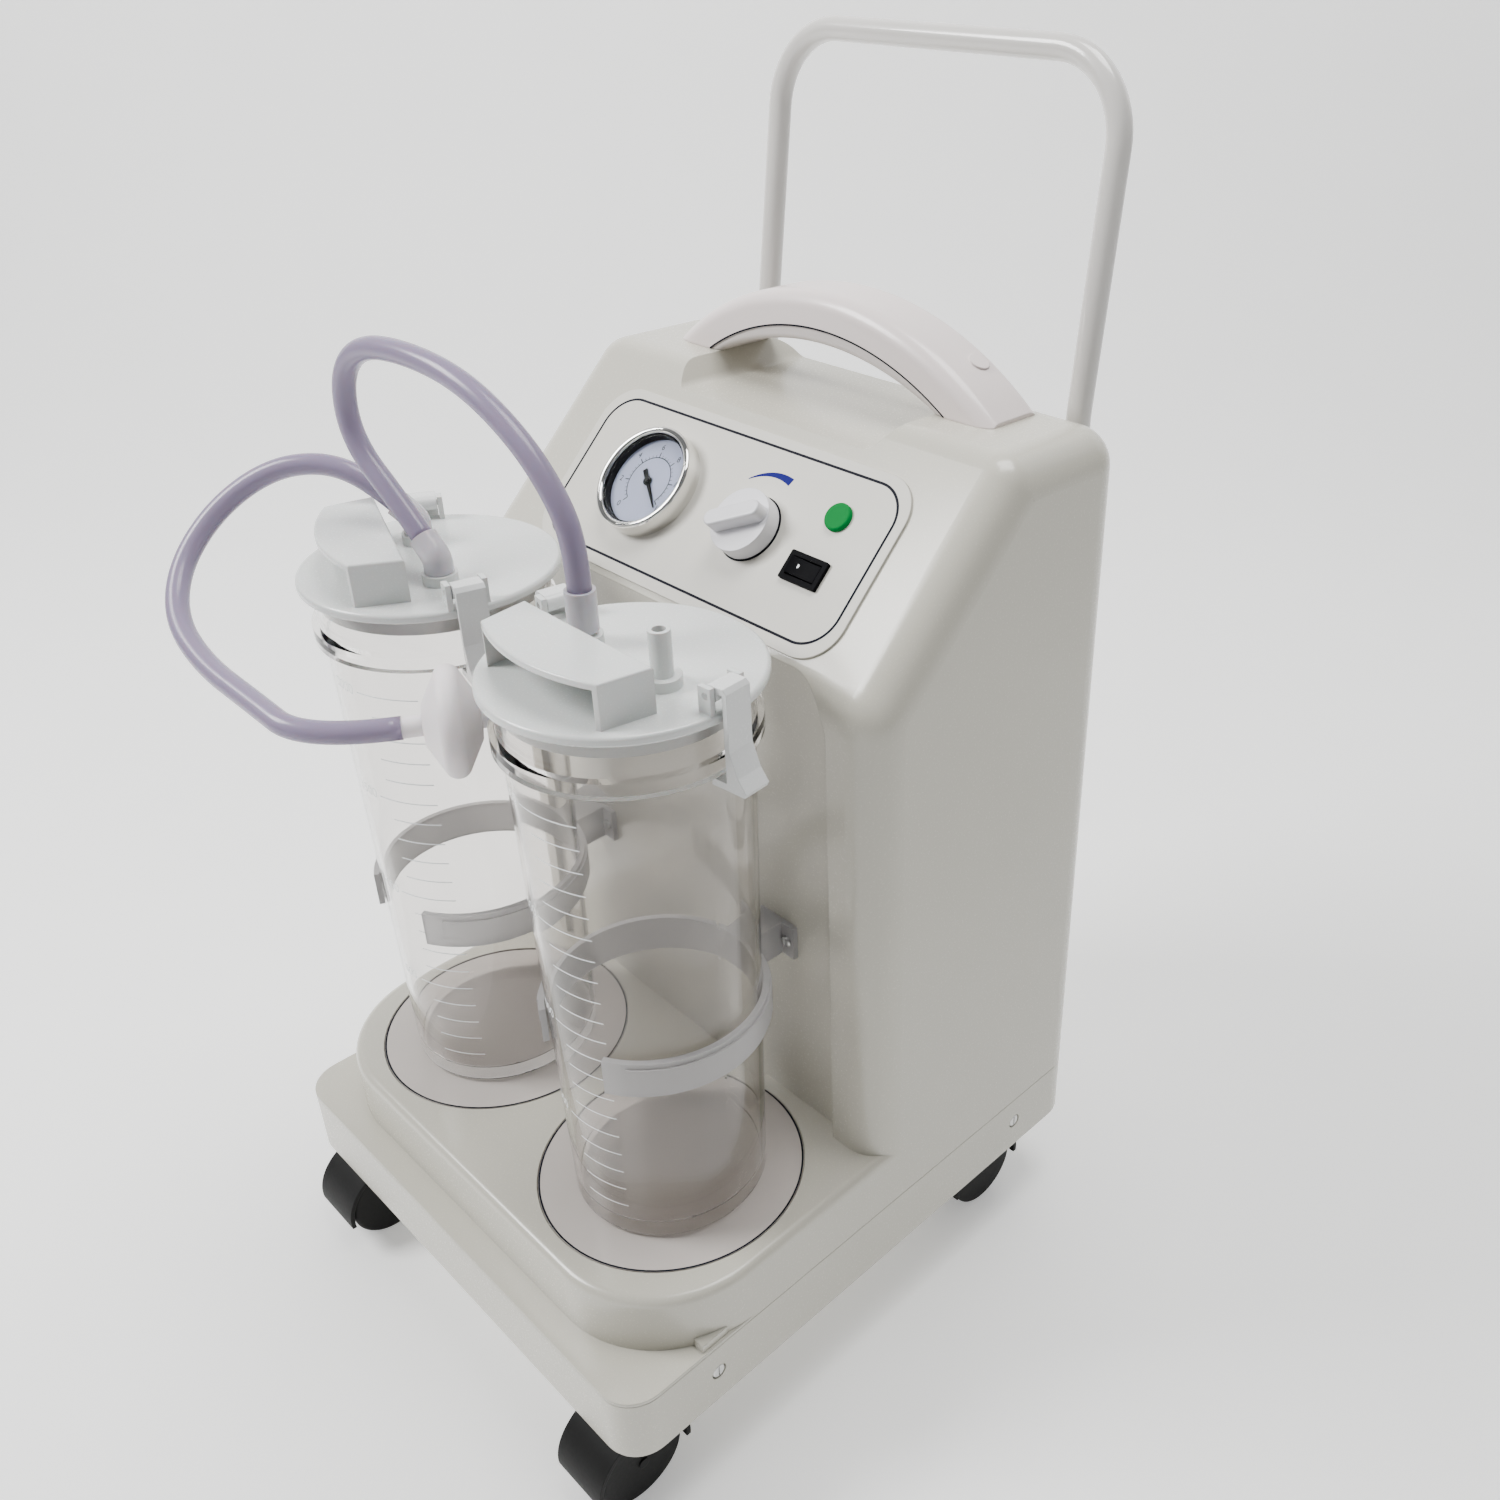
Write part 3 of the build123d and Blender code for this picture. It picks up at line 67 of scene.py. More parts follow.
# ---------------------------------------------------------------- camera
CAMERA_AT, LENS, SENSOR = (0.5340, MID - 0.3892, 0.7215), 33.85, 36.0
CAMERA_TURN, CAMERA_TILT, CAMERA_ROLL = radians(42.93), radians(60.60), radians(0.667)


def set_camera():
    """A camera to the right of the front, looking down, with a shifted frame."""
    data = bpy.data.cameras.new("camera")
    data.lens, data.sensor_width = LENS, SENSOR
    data.shift_x, data.shift_y = -0.1018, -0.0303
    data.clip_start = 0.01
    camera = bpy.data.objects.new("camera", data)
    bpy.context.scene.collection.objects.link(camera)
    turn = (Matrix.Rotation(CAMERA_TURN, 4, "Z") @ Matrix.Rotation(CAMERA_TILT, 4, "X")
            @ Matrix.Rotation(CAMERA_ROLL, 4, "Z"))
    camera.matrix_world = Matrix.Translation(CAMERA_AT) @ turn
    bpy.context.scene.camera = camera


set_camera()


# ---------------------------------------------------------------- material building
def node_tree(name):
    """A new material with its tree, principled shader and a function that adds nodes to it."""
    material = bpy.data.materials.new(name)
    material.use_nodes = True
    tree = material.node_tree
    shader = tree.nodes["Principled BSDF"]

    def add(kind, **values):
        node = tree.nodes.new(kind)
        for key, value in values.items():
            if key in node.inputs:
                node.inputs[key].default_value = value
            else:
                setattr(node, key, value)
        return node

    return material, tree, shader, add


def surface(name, colour, roughness, spread=0.03, grain=900.0, bump=0.02, mottle=9.0, edge=0.0006,
            **shader_values):
    """A moulded, painted or metal finish: colour mottled by two noises, fine grain in the bump and
    the roughness, softly rounded edges."""
    material, tree, shader, add = node_tree(name)
    link = tree.links.new
    place = add("ShaderNodeTexCoord")
    cloud = add("ShaderNodeTexNoise", Scale=mottle, Detail=4.0, Roughness=0.55)
    fine = add("ShaderNodeTexNoise", Scale=grain, Detail=3.0, Roughness=0.6)
    for texture in (cloud, fine):
        link(place.outputs["Object"], texture.inputs["Vector"])
    ramp = add("ShaderNodeValToRGB")
    low = [max(0.0, c * (1 - spread)) for c in colour]
    high = [min(1.0, c * (1 + spread)) for c in colour]
    ramp.color_ramp.elements[0].position, ramp.color_ramp.elements[1].position = 0.32, 0.68
    ramp.color_ramp.elements[0].color = (*low, 1)
    ramp.color_ramp.elements[1].color = (*high, 1)
    link(cloud.outputs["Fac"], ramp.inputs["Fac"])
    link(ramp.outputs["Color"], shader.inputs["Base Color"])
    sheen = add("ShaderNodeMapRange")
    sheen.inputs["To Min"].default_value = max(0.0, roughness - 0.06)
    sheen.inputs["To Max"].default_value = min(1.0, roughness + 0.06)
    link(fine.outputs["Fac"], sheen.inputs["Value"])
    link(sheen.outputs["Result"], shader.inputs["Roughness"])
    relief = add("ShaderNodeBump", Strength=bump, Distance=0.0004)
    link(fine.outputs["Fac"], relief.inputs["Height"])
    if edge:
        round_edge = add("ShaderNodeBevel", samples=4, Radius=edge)
        link(round_edge.outputs["Normal"], relief.inputs["Normal"])
    link(relief.outputs["Normal"], shader.inputs["Normal"])
    for key, value in shader_values.items():
        shader.inputs[key.replace("_", " ")].default_value = value
    return material


def clear(name, colour, roughness, transmission, ior=1.45, alpha=1.0, wave=0.0, **shader_values):
    """A clear or milky moulding: light passes through, with faint flow marks in its roughness."""
    material, tree, shader, add = node_tree(name)
    link = tree.links.new
    place = add("ShaderNodeTexCoord")
    flow = add("ShaderNodeTexNoise", Scale=14.0, Detail=5.0, Roughness=0.5)
    link(place.outputs["Object"], flow.inputs["Vector"])
    tone = add("ShaderNodeValToRGB")
    tone.color_ramp.elements[0].color = (*[c * 0.95 for c in colour], 1)
    tone.color_ramp.elements[1].color = (*[min(1, c * 1.03) for c in colour], 1)
    link(flow.outputs["Fac"], tone.inputs["Fac"])
    link(tone.outputs["Color"], shader.inputs["Base Color"])
    sheen = add("ShaderNodeMapRange")
    sheen.inputs["To Min"].default_value = max(0.0, roughness - 0.03)
    sheen.inputs["To Max"].default_value = roughness + 0.05
    link(flow.outputs["Fac"], sheen.inputs["Value"])
    link(sheen.outputs["Result"], shader.inputs["Roughness"])
    if wave:
        relief = add("ShaderNodeBump", Strength=wave, Distance=0.001)
        link(flow.outputs["Fac"], relief.inputs["Height"])
        link(relief.outputs["Normal"], shader.inputs["Normal"])
    shader.inputs["Transmission Weight"].default_value = transmission
    shader.inputs["IOR"].default_value = ior
    shader.inputs["Alpha"].default_value = alpha
    for key, value in shader_values.items():
        shader.inputs[key.replace("_", " ")].default_value = value
    return material


housing_white = surface("housing_white", (0.54, 0.52, 0.445), 0.26, bump=0.012, mottle=5.0, edge=0.0008,
                        Coat_Weight=0.25, Coat_Roughness=0.12)
panel_film = surface("panel_film", (0.60, 0.58, 0.52), 0.40, bump=0.03, grain=1500.0, mottle=6.0)
seat_beige = surface("seat_beige", (0.53, 0.485, 0.45), 0.30, mottle=7.0)
handle_white = surface("handle_white", (0.80, 0.715, 0.695), 0.30, mottle=6.0, edge=0.001, Coat_Weight=0.2)
grip_white = surface("grip_white", (0.60, 0.55, 0.53), 0.42, bump=0.05, grain=700.0)
lid_white = surface("lid_white", (0.66, 0.68, 0.665), 0.26, mottle=12.0, edge=0.0007, Coat_Weight=0.3,
                    Coat_Roughness=0.1, Subsurface_Weight=0.08, Subsurface_Scale=0.004)
latch_white = surface("latch_white", (0.72, 0.73, 0.72), 0.26, mottle=16.0, edge=0.0006, Coat_Weight=0.2)
adapter_white = surface("adapter_white", (0.78, 0.77, 0.76), 0.32, mottle=20.0)
filter_white = surface("filter_white", (0.86, 0.80, 0.81), 0.5, spread=0.06, mottle=40.0, bump=0.06,
                       grain=600.0, Subsurface_Weight=0.15, Subsurface_Scale=0.006)
knob_white = surface("knob_white", (0.72, 0.71, 0.74), 0.30, mottle=20.0, edge=0.0006, Coat_Weight=0.2)
push_paint = surface("push_paint", (0.66, 0.64, 0.61), 0.22, mottle=10.0, bump=0.03, grain=500.0,
                     Coat_Weight=0.6, Coat_Roughness=0.06)
black_gloss = surface("black_gloss", (0.004, 0.004, 0.005), 0.5, spread=0.2, mottle=30.0, edge=0.0005,
                      Specular_IOR_Level=0.03)
black_matte = surface("black_matte", (0.012, 0.012, 0.013), 0.55, spread=0.2, mottle=30.0, bump=0.08,
                      grain=700.0, Specular_IOR_Level=0.2)
tread_black = surface("tread_black", (0.005, 0.005, 0.005), 0.60, spread=0.25, mottle=40.0, bump=0.12,
                      grain=500.0, Specular_IOR_Level=0.2)
rubber_black = surface("rubber_black", (0.04, 0.038, 0.038), 0.6, spread=0.2, bump=0.08)
chrome = surface("chrome", (0.78, 0.77, 0.74), 0.10, spread=0.02, mottle=60.0, bump=0.01, edge=0.0003,
                 Metallic=1.0)
steel = surface("steel", (0.56, 0.56, 0.55), 0.32, spread=0.06, mottle=80.0, bump=0.05, Metallic=1.0)
brass = surface("brass", (0.66, 0.48, 0.21), 0.3, spread=0.05, mottle=60.0, Metallic=1.0)
motor_grey = surface("motor_grey", (0.20, 0.21, 0.22), 0.5, spread=0.1, bump=0.25, grain=350.0)
pipe_grey = surface("pipe_grey", (0.32, 0.33, 0.34), 0.45)
float_orange = surface("float_orange", (0.70, 0.22, 0.05), 0.4)
dial_white = surface("dial_white", (0.52, 0.56, 0.74), 0.5, mottle=50.0, edge=0)
print_black = surface("print_black", (0.006, 0.007, 0.014), 0.6, spread=0.2, edge=0, Specular_IOR_Level=0.1)
print_navy = surface("print_navy", (0.006, 0.007, 0.16), 0.6, spread=0.15, edge=0, Specular_IOR_Level=0.1)
# white print with a faint painted glow: emission 0.05 makes the jar graduations, numbers and the rocker's
# dot shine a little on their own
print_white_glowing = surface("print_white_glowing", (0.86, 0.88, 0.89), 0.5, spread=0.02, edge=0,
                      Emission_Color=(1, 1, 1, 1), Emission_Strength=0.05)
lamp_green = clear("lamp_green", (0.0, 0.17, 0.035), 0.5, 0.0, Emission_Color=(0.0, 0.4, 0.08, 1),
                   Emission_Strength=0.08, Specular_IOR_Level=0.03)
gauge_glass = clear("gauge_glass", (0.98, 0.99, 1.0), 0.02, 1.0, ior=1.1)
jar_clear = clear("jar_clear", (0.93, 0.915, 0.90), 0.03, 1.0, ior=1.16, wave=0.02, Coat_Weight=0.35,
                  Coat_Roughness=0.03)
clip_milky = clear("clip_milky", (0.66, 0.645, 0.64), 0.3, 0.45, ior=1.3)
hose_lavender = clear("hose_lavender", (0.32, 0.27, 0.39), 0.22, 0.30, ior=1.38, wave=0.04,
                      Subsurface_Weight=0.2, Subsurface_Scale=0.006)
cuff_pale = clear("cuff_pale", (0.72, 0.69, 0.74), 0.24, 0.35, ior=1.38, Subsurface_Weight=0.2,
                  Subsurface_Scale=0.005)

FINISHES = {
    housing_white: ["base_tray", "upper_housing", "rear_cover"],
    panel_film: ["control_panel"],
    seat_beige: ["jar_seats"],
    handle_white: ["carry_handle"],
    grip_white: ["handle_grip"],
    lid_white: ["lid_left", "lid_right"],
    latch_white: ["latch_left_inner", "latch_left_outer", "latch_right_inner", "latch_right_outer"],
    adapter_white: ["vacuum_inlet", "float_cage"],
    cuff_pale: ["hose_cuff", "hose_elbow_link", "hose_elbow_loop"],
    filter_white: ["bacteria_filter"],
    knob_white: ["regulator_knob"],
    push_paint: ["push_handle"],
    black_gloss: ["switch_frame", "switch_rocker"],
    black_matte: ["handle_clamps", "power_inlet", "gauge_case", "gauge_needle"],
    tread_black: ["caster_wheels_front_left", "caster_wheels_front_right", "caster_wheels_rear_left",
                  "caster_wheels_rear_right", "caster_fork_front_left", "caster_fork_front_right",
                  "caster_fork_rear_left", "caster_fork_rear_right"],
    rubber_black: ["rubber_mounts", "jar_gasket_left", "jar_gasket_right"],
    chrome: ["gauge_bezel"],
    steel: ["latch_pins_left", "latch_pins_right", "motor_rotor", "skirt_screws", "clip_screws",
            "rear_screws"],
    brass: ["regulator_valve"],
    motor_grey: ["motor_housing", "pump_heads"],
    pipe_grey: ["vacuum_pipes"],
    float_orange: ["overflow_float"],
    dial_white: ["gauge_dial"],
    gauge_glass: ["gauge_glass"],
    lamp_green: ["power_lamp"],
    jar_clear: ["jar_left", "jar_right"],
    clip_milky: ["jar_clip_left", "jar_clip_right"],
}
for finish, names in FINISHES.items():
    for name in names:
        nodes[name].data.materials.clear()
        nodes[name].data.materials.append(finish)


# ---------------------------------------------------------------- hoses
PORT_OFFSET, LID_TURN = 27.5 * MM, {"right": 0.0, "left": radians(-20)}
ELBOW_TOP, ELBOW_RISE = 449 * MM, radians(42)
LINK_HEADING, LOOP_HEADING = 185, 216     # the ways the two elbows point, in degrees
FILTER_AT, FILTER_WAY = Vector((7 * MM, MID - 123 * MM, 398 * MM)), Vector((0.5, sqrt(0.75), 0))


def port(side, sx, z):
    """Centre of a lid's port at a height: sx is -1 for the port on the lid's left, 1 for its right."""
    turn = LID_TURN[side]
    x = JAR_X if side == "right" else -JAR_X
    return Vector((x + sx * PORT_OFFSET * cos(turn), JAR_Y + sx * PORT_OFFSET * sin(turn), z))


def beyond_elbow(sx, heading, reach):
    """A point past the bend of a left port's elbow, which rises along its heading."""
    way = Vector((cos(radians(heading)) * cos(ELBOW_RISE), sin(radians(heading)) * cos(ELBOW_RISE),
                  sin(ELBOW_RISE)))
    return port("left", sx, ELBOW_TOP) + way * reach * MM


def along_filter(reach):
    """A point on the filter's axis."""
    return FILTER_AT + FILTER_WAY * reach * MM


def at(x, y, z):
    """A point given in millimetres with y from the tray's middle."""
    return Vector((x * MM, MID + y * MM, z * MM))


LINK_ROUTE = [beyond_elbow(1, LINK_HEADING, 12), beyond_elbow(1, LINK_HEADING, 32), at(-108.5, -91.5, 495),
              at(-108.5, -91.5, 526), at(-88.5, -89.7, 545), at(-52, -86.4, 548.5), at(-12, -82.8, 543),
              at(22, -79.8, 525), at(43, -78, 503.5), port("right", -1, 484 * MM),
              port("right", -1, 463 * MM)]
LOOP_ROUTE = [beyond_elbow(-1, LOOP_HEADING, 12), beyond_elbow(-1, LOOP_HEADING, 32), at(-143, -95, 477),
              at(-162, -114, 472), at(-173, -139, 455), at(-167, -164, 434), at(-143, -180, 418),
              at(-107, -184, 408), at(-67, -181, 403), along_filter(-64), along_filter(-22)]
STUB_ROUTE = [along_filter(16), along_filter(28), at(15, -80, 391), at(4, -56, 389), at(0, -33, 398),
              at(0, -14, 398)]


def finish_piece(name, data, material, body, smooth=False):
    """Puts a mesh into the scene with its finish, on its body."""
    data.materials.append(material)
    data.polygons.foreach_set("use_smooth", np.full(len(data.polygons), smooth))
    piece = bpy.data.objects.new(name, data)
    bpy.context.scene.collection.objects.link(piece)
    if body:
        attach(piece, body)
    return piece


def spline_points(points):
    """The line of a smooth spline with the route's points as its control points."""
    data = bpy.data.curves.new("route", "CURVE")
    data.dimensions, data.resolution_u = "3D", 14
    spline = data.splines.new("NURBS")
    spline.points.add(len(points) - 1)
    for place, point in zip(spline.points, points):
        place.co = (*point, 1)
    spline.order_u = 3
    spline.use_endpoint_u = True
    curve = bpy.data.objects.new("route", data)
    bpy.context.scene.collection.objects.link(curve)
    bpy.context.view_layer.update()
    mesh = bpy.data.meshes.new_from_object(curve)
    line = np.array([v.co for v in mesh.vertices], float)
    bpy.data.objects.remove(curve)
    return line


def tube_mesh(name, line, radius, aside, sides=32):
    """A round skin along a line: each ring is centre + radius * (cos a * n + sin a * b), where n is
    the line's direction crossed with a fixed aside vector and b completes the frame; ends are closed."""
    way = np.gradient(line, axis=0)
    way /= np.linalg.norm(way, axis=1, keepdims=True)
    n = np.cross(way, aside)
    n /= np.linalg.norm(n, axis=1, keepdims=True)
    b = np.cross(way, n)
    angle = np.linspace(0, 2 * pi, sides, endpoint=False)
    ring = np.cos(angle)[None, :, None] * n[:, None] + np.sin(angle)[None, :, None] * b[:, None]
    points = line[:, None] + np.reshape(radius, (-1, 1, 1)) * ring
    rows = len(line)
    i, j = np.meshgrid(np.arange(rows - 1), np.arange(sides), indexing="ij")
    first, beside = i * sides + j, i * sides + (j + 1) % sides
    faces = np.stack([first, beside, beside + sides, first + sides], -1).reshape(-1, 4).tolist()
    faces += [list(range(sides))[::-1], list(range((rows - 1) * sides, rows * sides))]
    data = bpy.data.meshes.new(name)
    data.from_pydata(points.reshape(-1, 3).tolist(), [], faces)
    return data


def hose(name, points, aside, body=None):
    """A silicone hose along its route, standing for its solid tube."""
    line = spline_points(points)
    data = tube_mesh(name + "_skin", line, np.full(len(line), HOSE_D / 2), aside)
    skin = finish_piece(name + "_skin", data, hose_lavender, body, smooth=True)
    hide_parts(name)
    return skin


link_skin = hose("hose_link", LINK_ROUTE, (0, 1, 0))
# the hose bends between the left lid, which stays, and the right lid, which lifts with its jar. A known
# fault: its left end lies past the start, towards the end, so it rises off its elbow by a third of the lift
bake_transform(link_skin)
hose("hose_loop", LOOP_ROUTE, (0.3, -0.5, 0.8), "chassis")
hose("hose_stub", STUB_ROUTE, (0, 0, 1), "chassis")


# ---------------------------------------------------------------- surfaces worked out on grids
def grid_faces(rows, columns, close_u=False):
    """The four-sided faces of a grid of points; close_u joins the last row to the first."""
    i, j = np.meshgrid(np.arange(rows if close_u else rows - 1), np.arange(columns - 1), indexing="ij")
    first, after = i * columns + j, ((i + 1) % rows) * columns + j
    return np.stack([first, after, after + 1, first + 1], -1).reshape(-1, 4)


def grid_mesh(name, points, material, body, close_u=False):
    """A piece from an array of points [rows, columns, xyz]."""
    data = bpy.data.meshes.new(name)
    faces = grid_faces(*points.shape[:2], close_u)
    data.from_pydata(points.reshape(-1, 3).tolist(), [], faces.tolist())
    return finish_piece(name, data, material, body)


def join_grids(name, parts, material, body):
    """One piece from several point grids."""
    return join_flat(name, [(grid.reshape(-1, 3), grid_faces(*grid.shape[:2]).tolist()) for grid in parts],
                     material, body)


def join_flat(name, parts, material, body):
    """One piece from several pairs of points and faces, each part's faces numbered from its own start."""
    points, faces, count = [], [], 0
    for part_points, part_faces in parts:
        points.append(part_points)
        faces += [[count + i for i in face] for face in part_faces]
        count += len(part_points)
    data = bpy.data.meshes.new(name)
    data.from_pydata(np.concatenate(points).tolist(), [], faces)
    return finish_piece(name, data, material, body)


def on_panel(x, y, height):
    """Panel coordinates to the row frame, for arrays: origin + x across + y up the slope + height out."""
    x, y, height = np.broadcast_arrays(np.asarray(x, float), y, height)
    across = x[..., None] * np.array((1.0, 0, 0))
    up = y[..., None] * np.array(PANEL_UP)
    out = height[..., None] * np.array(PANEL_OUT)
    return np.array(PANEL_ORIGIN) + across + up + out


def rounded_loop(half, low, high, corner, count=24):
    """Points of a rounded rectangle's outline, counter-clockwise, as (x, y) and outward normals."""
    turns = np.linspace(0, pi / 2, count)
    points, normals = [], []
    for k, (cx, cy) in enumerate(((half - corner, high - corner), (corner - half, high - corner),
                                  (corner - half, low + corner), (half - corner, low + corner))):
        angle = turns + k * pi / 2
        normal = np.stack([np.cos(angle), np.sin(angle)], -1)
        points.append(np.array((cx, cy)) + corner * normal)
        normals.append(normal)
    return np.concatenate(points), np.concatenate(normals)


def border_line(name, half, low, high, corner, width, material, height):
    """A printed line round the panel: the outline offset to each side by half the line's width."""
    points, normals = rounded_loop(half, low, high, corner)
    offsets = np.array((-0.5, 0.5)) * width
    xy = points[:, None] + normals[:, None] * offsets[None, :, None]
    grid = on_panel(xy[..., 0], xy[..., 1], height)
    return grid_mesh(name, grid, material, "chassis", close_u=True)


LIFT = 0.06 * MM                          # how far printed marks stand off the face they are on
PRINT = PANEL_FACE + LIFT
BORDER_HALF, BORDER_LOW, BORDER_HIGH, BORDER_CORNER, BORDER_WIDE = (v * MM for v in (111, 0.5, 88, 19, 1.4))
border_line("panel_border", BORDER_HALF, BORDER_LOW, BORDER_HIGH, BORDER_CORNER, BORDER_WIDE, print_black,
            PRINT)


def arc_band(centre, radius, start, stop, thin, thick, height, count=48):
    """A printed arc on the panel whose width grows from thin to thick along its turn."""
    angle = np.linspace(radians(start), radians(stop), count)[:, None]
    width = np.linspace(thin, thick, count)[:, None] * np.array((-0.5, 0.5))
    r = radius + width
    return on_panel(centre[0] + r * np.cos(angle), centre[1] + r * np.sin(angle), height)


KNOB_AT, MARK_R = (31.0 * MM, 43.5 * MM), 30.5 * MM
grid_mesh("regulator_mark", arc_band(KNOB_AT, MARK_R, 129, 74, 0.5 * MM, 4.4 * MM, PRINT), print_navy,
          "chassis")

DIAL_START, DIAL_END, DIAL_STEP, DIAL_STEPS = 235, -35, 9, 30     # the scale's turn, in degrees
DIAL_R, LONG_TICK_R, SHORT_TICK_R, NUMBER_R = 14.5 * MM, 17.6 * MM, 16.0 * MM, 20.6 * MM
DIAL_PRINT = GAUGE_DIAL + 0.05 * MM


def dial_marks():
    """The gauge's scale: one arc, long and short ticks along radii, all just above the dial."""
    parts = [arc_band(GAUGE_AT, DIAL_R, DIAL_START, DIAL_END, 0.5 * MM, 0.5 * MM, DIAL_PRINT, 64)]
    for step in range(DIAL_STEPS + 1):
        angle = radians(DIAL_START - DIAL_STEP * step)
        outer, wide = (LONG_TICK_R, 0.55 * MM) if step % 5 == 0 else (SHORT_TICK_R, 0.3 * MM)
        r = np.array((DIAL_R, outer))[:, None]
        side = np.array((-0.5, 0.5)) * wide
        x = GAUGE_AT[0] + r * cos(angle) - side * sin(angle)
        y = GAUGE_AT[1] + r * sin(angle) + side * cos(angle)
        parts.append(on_panel(x, y, DIAL_PRINT))
    return parts


join_grids("gauge_scale", dial_marks(), print_black, "chassis")


def text_points(words, size):
    """Flat letters as a mesh's points and faces, centred on the origin."""
    data = bpy.data.curves.new("letters", "FONT")
    data.body, data.size, data.align_x, data.align_y = words, size, "CENTER", "CENTER"
    letters = bpy.data.objects.new("letters", data)
    bpy.context.scene.collection.objects.link(letters)
    bpy.context.view_layer.update()
    mesh = bpy.data.meshes.new_from_object(letters)
    points = np.array([v.co for v in mesh.vertices], float).reshape(-1, 3)
    faces = [list(p.vertices) for p in mesh.polygons]
    bpy.data.objects.remove(letters)
    return points, faces


def dial_numbers():
    """Numbers round the dial, upright, one at every long tick."""
    placed = []
    for step, words in enumerate(("0", "2", "4", "6", "8", "10", "12")):
        angle = radians(DIAL_START - 5 * DIAL_STEP * step)
        flat, faces = text_points(words, 4.6 * MM)
        x = GAUGE_AT[0] + NUMBER_R * cos(angle) + flat[:, 0]
        y = GAUGE_AT[1] + NUMBER_R * sin(angle) + flat[:, 1]
        placed.append((on_panel(x, y, DIAL_PRINT), faces))
    return placed


join_flat("gauge_numbers", dial_numbers(), print_black, "chassis")


# ---------------------------------------------------------------- handle seams
def grip_seams():
    """Dark joint lines round the grip insert on both faces of the handle: a band along the arc that
    passes through the two feet and the apex, half a line's width to each side."""
    half, foot, apex, wide = 88.8 * MM, 504.2 * MM, 530.9 * MM, 0.9 * MM
    front, back = MID + 116.42 * MM, MID + 156.58 * MM
    rise = apex - foot
    radius = (rise ** 2 + half ** 2) / (2 * rise)
    angle = np.linspace(-1, 1, 64)[:, None] * np.arcsin(half / radius)
    r = radius + np.array((-0.5, 0.5)) * wide
    x, z = r * np.sin(angle), apex - radius + r * np.cos(angle)
    bands = [np.stack([x, np.full_like(x, y), z], -1) for y in (front, back)]
    join_grids("grip_seams", bands, print_black, "chassis")


grip_seams()


# ---------------------------------------------------------------- dark outlines and the switch's dot
def flat_ring(centre, inner, outer, height, count=96):
    """A level ring: radius runs from inner to outer, the angle once round its centre."""
    angle = np.linspace(0, 2 * pi, count)[:, None]
    r = np.array((inner, outer))
    x, y = centre[0] + r * np.cos(angle), centre[1] + r * np.sin(angle)
    return np.stack([x, y, np.full_like(x, height)], -1)


def seat_lines():
    """The dark joint round each jar's seat, on the seat's outermost millimetre."""
    seat_side, _, seat_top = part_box("jar_seats")[1]
    seat_r = seat_side - JAR_X
    rings = [flat_ring((x, JAR_Y), seat_r - 1.1 * MM, seat_r - 0.1 * MM, seat_top + LIFT)
             for x in (-JAR_X, JAR_X)]
    join_grids("seat_lines", rings, print_black, "chassis")


def knob_dark_ring():
    """A dark ring round the regulator knob, flat on the panel: radius times a full turn."""
    angle = np.linspace(0, 2 * pi, 72)[:, None]
    r = np.array((16.0, 18.3)) * MM
    ring = on_panel(KNOB_AT[0] + r * np.cos(angle), KNOB_AT[1] + r * np.sin(angle), PRINT)
    grid_mesh("knob_dark_ring", ring, print_black, "chassis")


def rocker_dot():
    """A small round mark on the rocker's face: radius times a full turn in the face's plane, about the
    point where a line square to the panel meets the rocker."""
    above = on_panel(74 * MM, 34.5 * MM, 40 * MM)
    _, place, normal, _ = nodes["switch_rocker"].ray_cast(Vector(above), -PANEL_OUT)
    across = Vector((1, 0, 0))
    up = normal.cross(across)
    angle = np.linspace(0, 2 * pi, 24)[:, None]
    r = np.array((0.0, 1.1)) * MM
    points = (np.array(place + normal * 0.05 * MM) + (r * np.cos(angle))[..., None] * np.array(across)
              + (r * np.sin(angle))[..., None] * np.array(up))
    grid_mesh("rocker_dot", points, print_white_glowing, "rocker")


seat_lines()
knob_dark_ring()
rocker_dot()


# ---------------------------------------------------------------- jar scales
def jar_radius(z):
    """Outer radius of a jar's tapered wall at a height."""
    return JAR_FOOT_R + (z - JAR_FLOOR) * (JAR_SHOULDER_R - JAR_FOOT_R) / (JAR_SHOULDER - JAR_FLOOR)


def on_jar(x_axis, angle, z, lift=0.08 * MM):
    """Points on a jar's wall: the radius grows with height, the angle turns about the jar's axis."""
    angle, z = np.broadcast_arrays(angle, z)
    r = jar_radius(z) + lift
    return np.stack([x_axis + r * np.cos(angle), JAR_Y + r * np.sin(angle), z], -1)


SCALE_TOP, SCALE_STEP, SCALE_STEPS = 387.5 * MM, 12.15 * MM, 20
SCALE_MIDDLE = {"right": radians(-76), "left": radians(-58)}
SCALE_SHORT, SCALE_LONG, NUMBER_TURN = radians(14), radians(21), radians(-32)
CAPACITIES = {0: "2000", 5: "1500", 10: "1000", 15: "500"}     # step from the top: millilitres


def jar_scale(side):
    """Graduation arcs, longer at every fifth step, and numbers at the long ones, printed on the wall."""
    x_axis, body = (JAR_X, "right_jar") if side == "right" else (-JAR_X, "chassis")
    middle = SCALE_MIDDLE[side]
    arcs, numbers = [], []
    for step in range(SCALE_STEPS):
        height = SCALE_TOP - SCALE_STEP * step
        reach = SCALE_LONG if step in CAPACITIES else SCALE_SHORT
        angle = np.linspace(middle - reach, middle + SCALE_SHORT, 16)[:, None]
        arcs.append(on_jar(x_axis, angle, height + np.array((-0.35, 0.35)) * MM))
        if step in CAPACITIES:
            flat, faces = text_points(CAPACITIES[step], 8 * MM)
            z = height + flat[:, 1]
            numbers.append((on_jar(x_axis, middle + NUMBER_TURN + flat[:, 0] / jar_radius(z), z), faces))
    join_grids(f"jar_scale_{side}", arcs, print_white_glowing, body)
    join_flat(f"jar_numbers_{side}", numbers, print_white_glowing, body)


